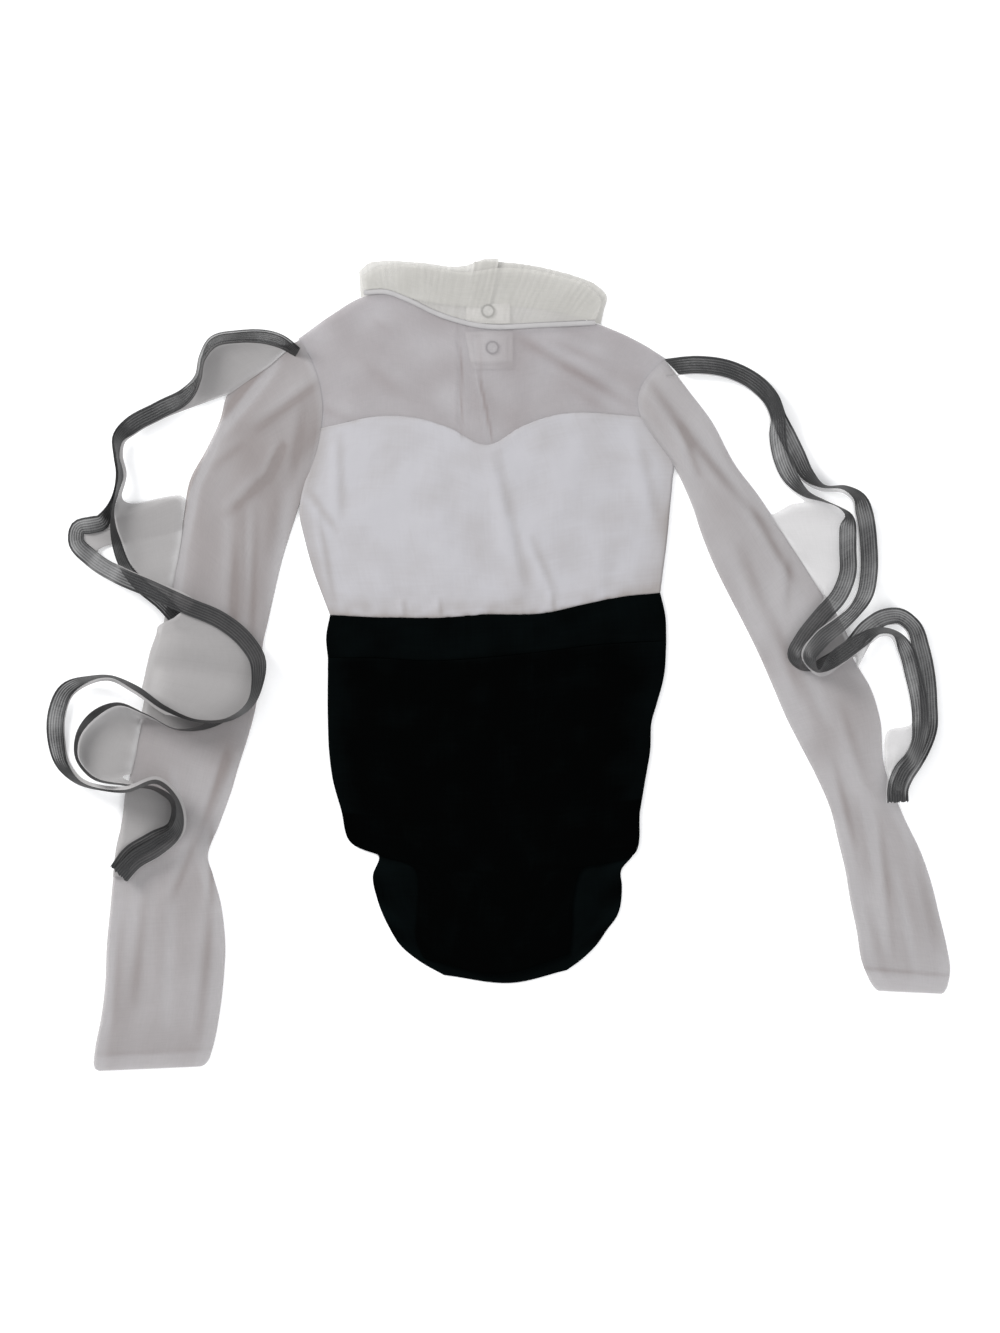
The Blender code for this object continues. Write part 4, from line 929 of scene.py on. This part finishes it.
def sleeve(name, rings, folds, flat, tone, seed):
    """A flat tube of cloth. tone is how much its own colour gives way to shade, at top and cuff."""
    outline = curve_through([(ring.inner_x, ring.inner_y, *ring) for ring in rings])

    def place(u, v):
        """u goes round: across the top to the inner edge, and back underneath.

        The cuff's corners are drawn back to round them.
        """
        upper = u < 0.5
        share = 2 * u if upper else 2 - 2 * u
        share = 0.5 - 0.5 * math.cos(math.pi * share) if upper else share
        from_corner = min(share, 1 - share) * CUFF_WIDTH
        if from_corner < CORNER_ROUND:
            back = CORNER_ROUND - math.sqrt(CORNER_ROUND**2 - (CORNER_ROUND - from_corner) ** 2)
            v -= back / flat[1] * near((1 - v) * flat[1], CORNER_REACH)
        _, _, outer_x, outer_y, inner_x, inner_y, bow, high = outline(v)
        x = outer_x + (inner_x - outer_x) * share + bow * bow_shape(share)
        y = outer_y + (inner_y - outer_y) * share
        width = math.hypot(inner_x - outer_x, inner_y - outer_y)
        from_edge = min(share, 1 - share) * width
        rounded = math.sqrt(max(0.0, 1 - (1 - min(from_edge / 3.0, 1.0)) ** 2))
        from_cuff = (1 - v) * flat[1]
        hem = near(from_cuff - HEM_HIGH, 1.6) - 0.6 * (from_cuff < HEM_HIGH)
        if not upper:
            return x, y, EDGE_ROUND - (EDGE_ROUND - 0.5) * rounded, sum(tone) / 2 + 0.25 * hem
        height, shade = folds_at(x, y, folds)
        flat_top = EDGE_ROUND + 0.7 * rounded
        bulge = (high - 2.3) * math.sin(math.pi * share) ** 0.7
        loose = math.sin(math.pi * share) ** 0.5
        height += rumple(x, y, 34, 1.0, seed) + rumple(x, y, 11, 0.12, seed + 3)
        across, down = share * width, v * flat[1]
        shade += tone[0] + (tone[1] - tone[0]) * v
        shade += 0.3 * noise.noise(Vector((across / 24, down / 90, seed + 9)))
        shade += 0.35 * noise.noise(Vector((across / 50, down / 60, seed + 19)))
        edge_seam = 0.12 * near(from_edge, 1.5) * (share > 0.5)
        faced = 0.35 * near(from_edge, FACING_WIDTH, 6)
        faced *= min(1.0, max(0.0, v - FACING_FROM) / 0.1)
        faced += 0.4 * near(down, ARMHOLE_SEAM, 4)
        return x, y, max(flat_top + bulge + height * loose, flat_top), shade + edge_seam + 0.4 * hem - faced

    piece = cloth(name, place, 96, 190, flat[0], flat[1], around=True)
    dress(piece, sleeve_organza, name)


sleeve("sleeve_left", SLEEVE_LEFT, LEFT_FOLDS, (215, 640), (0.68, 0.24), 61.0)
sleeve("sleeve_right", SLEEVE_RIGHT, RIGHT_FOLDS, (160, 560), (0.2, 0.32), 71.0)


# Flounces
# Two layers of organza are gathered into the outer seam of each sleeve. Stiff open
# braid on their free edges makes them stand in loops, turn over and fall flat.
# A bend is a place on the seam and one on the braid, the braid's height and its tilt in degrees,
# and the share of the way from braid to seam that the cloth fills.
Bend = namedtuple("Bend", "seam_x seam_y edge_x edge_y rise lean cloth", defaults=(1.0,))


def bends(*rows):
    """Bends of a layer's edge, from the shoulder down. A row of four is free braid: its edge alone."""
    return [Bend(*row[:2], *row) if len(row) == 4 else Bend(*row) for row in rows]


FLOUNCE_LEFT_UPPER = bends(
    (-179, 291, -181, 280, 9, 66), (-191, 285, -196, 290, 11, 50), (-211, 268, -234, 294, 14, 55),
    (-228.5, 256, -256, 289, 16, 60), (-238.5, 249, -265, 275, 16, 78), (-246, 244, -269, 257, 16, 76),
    (-257, 240, -279, 243, 14, 45), (-304, 229, -305, 229, 12, 8), (-330, 215, 12, 20),
    (-341, 203, 14, 60), (-341.5, 189, -342, 189, 15, 82), (-339, 171, 16, 76), (-343, 153, 16, 82),
    (-330, 146, -346, 140, 17, 84), (-287, 153, -346, 124, 17, 72), (-287, 130, -343, 110, 15, 58),
    (-289.5, 106, -335, 88, 12, 50), (-293.5, 84, -322, 72, 12, 40), (-296.5, 66, -303, 57, 12, 30),
    (-300.5, 46, -283, 38, 12, 20), (-304, 30, -258, 28, 11, 16), (-309, 12, -236, 9, 11, 16),
    (-315, -6, -229, -8, 11, 16), (-318.5, -19, -236, -32, 12, 26), (-320, -30, -256, -52, 16, 62),
    (-321.5, -40, -287, -58, 20, 84), (-323.5, -50, -317, -44, 22, 84),
    (-325.5, -60, -342, -35, 20, 78), (-327.5, -70, -364, -45, 14, 66), (-329, -80, -378, -64, 12, 76),
    (-331, -88, -379, -83, 13, 82), (-333, -97, -366, -100, 17, 82), (-335, -107, -333, -108, 19, 84),
    (-337, -117, -306, -112, 18, 76), (-338.5, -130, -292, -123, 16, 70),
    (-340.5, -143, -293, -145, 14, 50), (-343, -159, -312, -158, 11, 8),
    (-346, -174, -331, -170, 10, 6), (-348.5, -190, -343, -186, 9, 6),
)
FLOUNCE_LEFT_LOWER = bends(
    (-350, 138, -353, 134, 8, 46), (-302, 148, -356, 129, 5, 24), (-288, 142, -366, 126, 5, 10),
    (-287, 132, -378, 123, 5, 24), (-287, 122, -380, 112, 5, 24), (-366, 96, 6, 0),
    (-341, 81, -342, 81, 23, 0), (-311, 68, -312, 68, 26, 0), (-283, 54, -279, 53, 27, 0),
    (-302, 41, -249, 40, 26, 0, 0.35), (-307, 26, -227, 22, 25, 8), (-312, 13, -216, 4, 25, 20),
    (-315, 1, -216, -15, 25, 46), (-317, -9, -222, -34, 29, 64), (-319, -19, -240, -48, 33, 76),
    (-321, -30, -269, -50, 37, 80, 0.35), (-298, -39, 38, 72), (-326, -20, 34, 70), (-350, -10, 24, 80),
    (-367, -12, 14, 72), (-389, -23, 9, 30), (-397.5, -43, 7, 10), (-398, -68, 7, 20),
    (-392, -90, 8, 50), (-378, -105, 14, 76), (-355, -112, 24, 84), (-334, -113, 38, 80),
    (-305, -105, 36, 76), (-288, -122, 30, 78), (-288, -147, 24, 50), (-307, -164, 19, 10),
    (-327, -176, 17, 6), (-340, -190, 16, 6),
)
FLOUNCE_RIGHT_UPPER = bends(
    (150, 267, 11, 20), (179, 270, 12, 0), (210, 265, 12, 0), (233, 252, 12, 10), (245, 238, 12, 30),
    (251, 222, 12, 34), (251, 206, 12, 10), (256, 182, 12, 0), (265, 165, 13, 36), (276, 154, 15, 66),
    (266, 146, 293, 147, 17, 84), (252, 138, 307, 141, 17, 86), (246, 135, 314, 135, 15, 70),
    (256, 123, 314, 122, 11, 10), (265, 109, 314, 104, 10, 0), (276, 93, 314, 83, 10, 0),
    (287, 75, 307, 64, 11, 6), (298, 59, 289, 43, 13, 10), (307, 43, 273, 22, 14, 10),
    (314, 30, 266, 8, 14, 36), (319, 20, 271, -3, 15, 80), (322, 13, 293, 2, 14, 40),
    (324, 7, 315, 15, 14, 20), (327, 1, 332, 34, 14, 10), (343, 34, 347, 43, 11, 12), (361, 44, 8, 26),
    (373, 35, 7, 28), (380, 15, 6, 8), (385, -9, 6, 0), (387, -36, 6, 0), (387, -57, 6, 10),
    (382, -73, 6, 24), (374, -87, 6, 10), (366, -99, 8, 0), (361, -111, 9, 0), (361, -124, 9, 0),
)
FLOUNCE_RIGHT_LOWER = bends(
    (261, 204, 7, 10), (269, 188, 7, 20), (278, 171, 8, 40), (291, 161, 12, 78), (312, 159, 13, 74),
    (324, 151, 10, 50), (329, 137, 7, 6), (333, 108, 6, 0), (333, 81, 8, 0), (329, 63, 16, 20),
    (319, 48, 24, 40), (306, 36, 27, 30), (289, 22, 27, 20), (279, 6, 30, 44), (285, -5, 34, 80),
    (306, 9, 27, 16), (325, 22, 26, 30), (343, 31, 24, 66), (355, 29, 20, 72), (366, 14, 14, 30),
    (373, -9, 12, 10), (378, -32, 12, 10), (374, -52, 379, -51, 12, 20), (353, -58, 377, -69, 12, 40),
    (350, -72, 371, -84, 12, 30), (350, -90, 362, -96, 14, 6), (356, -107, 357, -111, 15, 6),
    (357, -124, 15, 6),
)
UNDER_LEFT_BENDS = 12
UNDER_RIGHT_BENDS = 6
UNDER_DROP = 4.6
UNDER_SHIFT = 2.6
BRAID_WIDTH = 15.5
BRAID_DROP = 1.4
BRAID_REST = 2.6
FREE_SHARE = 0.35
FREE_WIDTH = 10.0
FREE_DROP = 3.0
FREE_GAP = 5.0
SEAM_INSET = 3.0
FOLD_OVER = 22.0
FOLD_RANGE = 34.0
GATHERS = 30
GATHER_DEPTH = 0.2
# Keyed by side: 1 is the photo's left, -1 its right.
DENSITY = {1: 0.88, -1: 0.08}
START_CUT = {1: 0.0, -1: 0.017}
THIN_START = {1: 0.6, -1: 0.1}
THIN_LENGTH = 170.0
RAGGED_CUT = 1.8


def run_at(layer_bends, i):
    """The way that a layer's edge runs at one of its bends."""
    before = layer_bends[max(i - 1, 0)]
    after = layer_bends[min(i + 1, len(layer_bends) - 1)]
    along = np.array([after.edge_x - before.edge_x, after.edge_y - before.edge_y], float)
    return along / np.linalg.norm(along)


def under(above, side):
    """Bends of braid that runs under another: below it where it lies, outside it where it stands."""
    lower = []
    for i, bend in enumerate(above):
        along = run_at(above, i)
        lean = math.radians(bend.lean)
        dx, dy = side * np.array([along[1], -along[0]]) * UNDER_SHIFT * math.sin(lean)
        rise = bend.rise - UNDER_DROP * math.cos(lean)
        x, y = bend.edge_x + dx, bend.edge_y + dy
        lower.append(Bend(bend.seam_x + dx, bend.seam_y + dy, x, y, rise, bend.lean, bend.cloth))
    return lower


def settled(layer_bends, i):
    """A bend, and 1 where its cloth runs to the sleeve's seam or 0 where it's a strip by free braid."""
    bend = layer_bends[i]
    if math.hypot(bend.edge_x - bend.seam_x, bend.edge_y - bend.seam_y) > FREE_GAP:
        return (*bend, 1.0)
    side = 1 if bend.edge_x < 0 else -1
    along = side * FREE_WIDTH * run_at(layer_bends, i)
    return (bend.edge_x - along[1], bend.edge_y + along[0], *bend[2:6], FREE_SHARE, 0.0)


def horsehair(name):
    """Stiff open braid of dark nylon hair: fine lengthwise lines, with gaps between them."""
    made, shader = plain_material(name, (0.02, 0.02, 0.02), 0.4, 0.3)
    nodes, links, pattern, fold_and_shade = cloth_nodes(made, 500.0, 1400.0)
    lines = nodes.new("ShaderNodeTexWave")
    lines.bands_direction = "Y"
    lines.inputs["Scale"].default_value = 135.0
    lines.inputs["Distortion"].default_value = 0.6
    own_uvs = pattern.inputs["Vector"].links[0].from_socket
    links.new(own_uvs, lines.inputs["Vector"])
    hairs = ramp(nodes, links, lines.outputs["Fac"], 0.0, 1.0, 0.15, 0.75)
    coloured = blended(nodes, links, hairs, (0.012, 0.012, 0.013), (0.034, 0.034, 0.034))
    links.new(coloured, shader.inputs["Base Color"])
    gaps = ramp(nodes, links, pattern.outputs["Slubs"], 0.75, 0.85, 0.35, 0.65)
    open_lines = ramp(nodes, links, lines.outputs["Fac"], 0.075, -0.075)
    uneven = ramp(nodes, links, pattern.outputs["Mottling"], -0.08, 0.08, 0.35, 0.65)
    doubled = ramp(nodes, links, fold_and_shade, -0.3, 0.3, -1.0, 1.0)
    links.new(summed(nodes, links, gaps, open_lines, uneven, doubled), shader.inputs["Alpha"])
    emboss(nodes, links, shader, lines.outputs["Fac"], 0.4, 0.0003)
    return made


flounce_organza = organza("flounce_organza", (0.372, 0.362, 0.362), (0.275, 0.265, 0.262), 0.5, 0.95)
horsehair_braid = horsehair("horsehair_braid_open")


def flounce(layer, layer_bends, outward, seam_height, curl_reach, curl_lift, flat, seed):
    """One layer of a sleeve's flounce and the stiff braid that its free edge carries.

    outward points from the sleeve. curl_reach and curl_lift bend cloth whose edge lies on the sleeve.
    """
    side = 1 if outward[0] < 0 else -1
    dense = DENSITY[side]
    bend = curve_through([settled(layer_bends, i) for i in range(len(layer_bends))])
    columns = 7 * (len(layer_bends) - 1)
    look_ahead = 0.25 / len(layer_bends)

    def row(u):
        seam_x, seam_y, edge_x, edge_y, rise, lean, share, held = bend(u)
        lean = math.radians(min(max(lean, 0.0), 88.0))
        rise = max(rise, BRAID_WIDTH / 2 * math.sin(lean) + BRAID_REST)
        ahead = bend(min(u + look_ahead, 1.0)) - bend(max(u - look_ahead, 0.0))
        ahead = side * ahead[2:4] / np.linalg.norm(ahead[2:4])
        across = np.array([ahead[1] * math.cos(lean), -ahead[0] * math.cos(lean), math.sin(lean)])
        share = min(max(share, FREE_SHARE), 1.0)
        held = min(max(held, 0.0), 1.0)
        return np.array([seam_x, seam_y]), np.array([edge_x, edge_y, rise]), across, share, held

    def braid_place(u, v):
        u += (1 - u) * START_CUT[side] * (1 - v)
        ragged = 0.5 + 0.5 * math.sin(v * 37 + 3 * math.sin(v * 11 + seed))
        u -= RAGGED_CUT / flat[0] * ragged * near((1 - u) * flat[0], 5.0)
        _, middle, across, _, _ = row(u)
        x, y, z = middle + (v - 0.5) * BRAID_WIDTH * across
        edge = near(min(v, 1 - v) * BRAID_WIDTH, 1.2)
        frayed = near((1 - u) * flat[0], 8.0) + 0.8 * near(u * flat[0], 14.0)
        thin = THIN_START[side] * min(1.0, max(0.0, THIN_LENGTH / flat[0] - u) * 20)
        return x, y, z, across[2] ** 2 * (1 - min(thin, 1.0)) + 1.2 * edge + frayed - thin

    def cloth_place(u, v):
        seam, middle, across, share, held = row(u)
        end = middle - BRAID_WIDTH / 2 * across
        end[2] -= BRAID_DROP
        low = held * seam_height + (1 - held) * max(end[2] - FREE_DROP, 1.0)
        start = np.array([*(seam - SEAM_INSET * held * np.array(outward)), low])
        reach = float(np.dot(middle[:2] - seam, outward))
        folded = held * min(max((FOLD_OVER - reach) / FOLD_RANGE, 0.0), 1.0)
        curl = np.array([*(np.array(outward) * curl_reach), 0.0])
        first = start + (1 - folded) * (end - start) / 3 + folded * curl
        second = start + (1 - folded) * (end - start) * 2 / 3
        second = second + folded * (curl * 0.6 + np.array([0.0, 0.0, end[2] - start[2] + curl_lift]))
        v = 1 - (1 - v) * share
        w = 1 - v
        point = w**3 * start + 3 * w * w * v * first + 3 * w * v * v * second + v**3 * end
        point[2] = min(point[2], end[2])
        ripple = math.sin(2 * math.pi * (u * GATHERS + 0.4 * math.sin(u * 29 + seed)))
        puckered = near(1 - w, 0.22) * held
        point[2] += GATHER_DEPTH * ripple * puckered
        sewn = 0.85 * near(v * max(reach, 20.0), 4.0) * held
        # Painted shade darkens the troughs of the gathers near the seam.
        return *point, dense * (1 - sewn) + 0.08 * puckered * (1 - ripple)

    braid = cloth(f"braid_{layer}", braid_place, columns, 16, flat[0], BRAID_WIDTH)
    dress(braid, horsehair_braid, f"braid_{layer}")
    piece = cloth(f"flounce_{layer}", cloth_place, columns, 12, *flat)
    dress(piece, flounce_organza, f"flounce_{layer}")


left_lower = under(FLOUNCE_LEFT_UPPER[:UNDER_LEFT_BENDS], 1) + FLOUNCE_LEFT_LOWER
right_lower = under(FLOUNCE_RIGHT_UPPER[:UNDER_RIGHT_BENDS], -1) + FLOUNCE_RIGHT_LOWER
LEFT_OUT, RIGHT_OUT = (-0.97, 0.2), (0.9, 0.4)
flounce("left_upper", FLOUNCE_LEFT_UPPER, LEFT_OUT, 3.2, 5, 7, (870, 45), 1.0)
flounce("left_lower", left_lower, LEFT_OUT, 1.4, 11, 13, (1030, 45), 2.0)
flounce("right_upper", FLOUNCE_RIGHT_UPPER, RIGHT_OUT, 3.2, 5, 7, (690, 30), 3.0)
flounce("right_lower", right_lower, RIGHT_OUT, 1.4, 9, 13, (670, 10), 4.0)
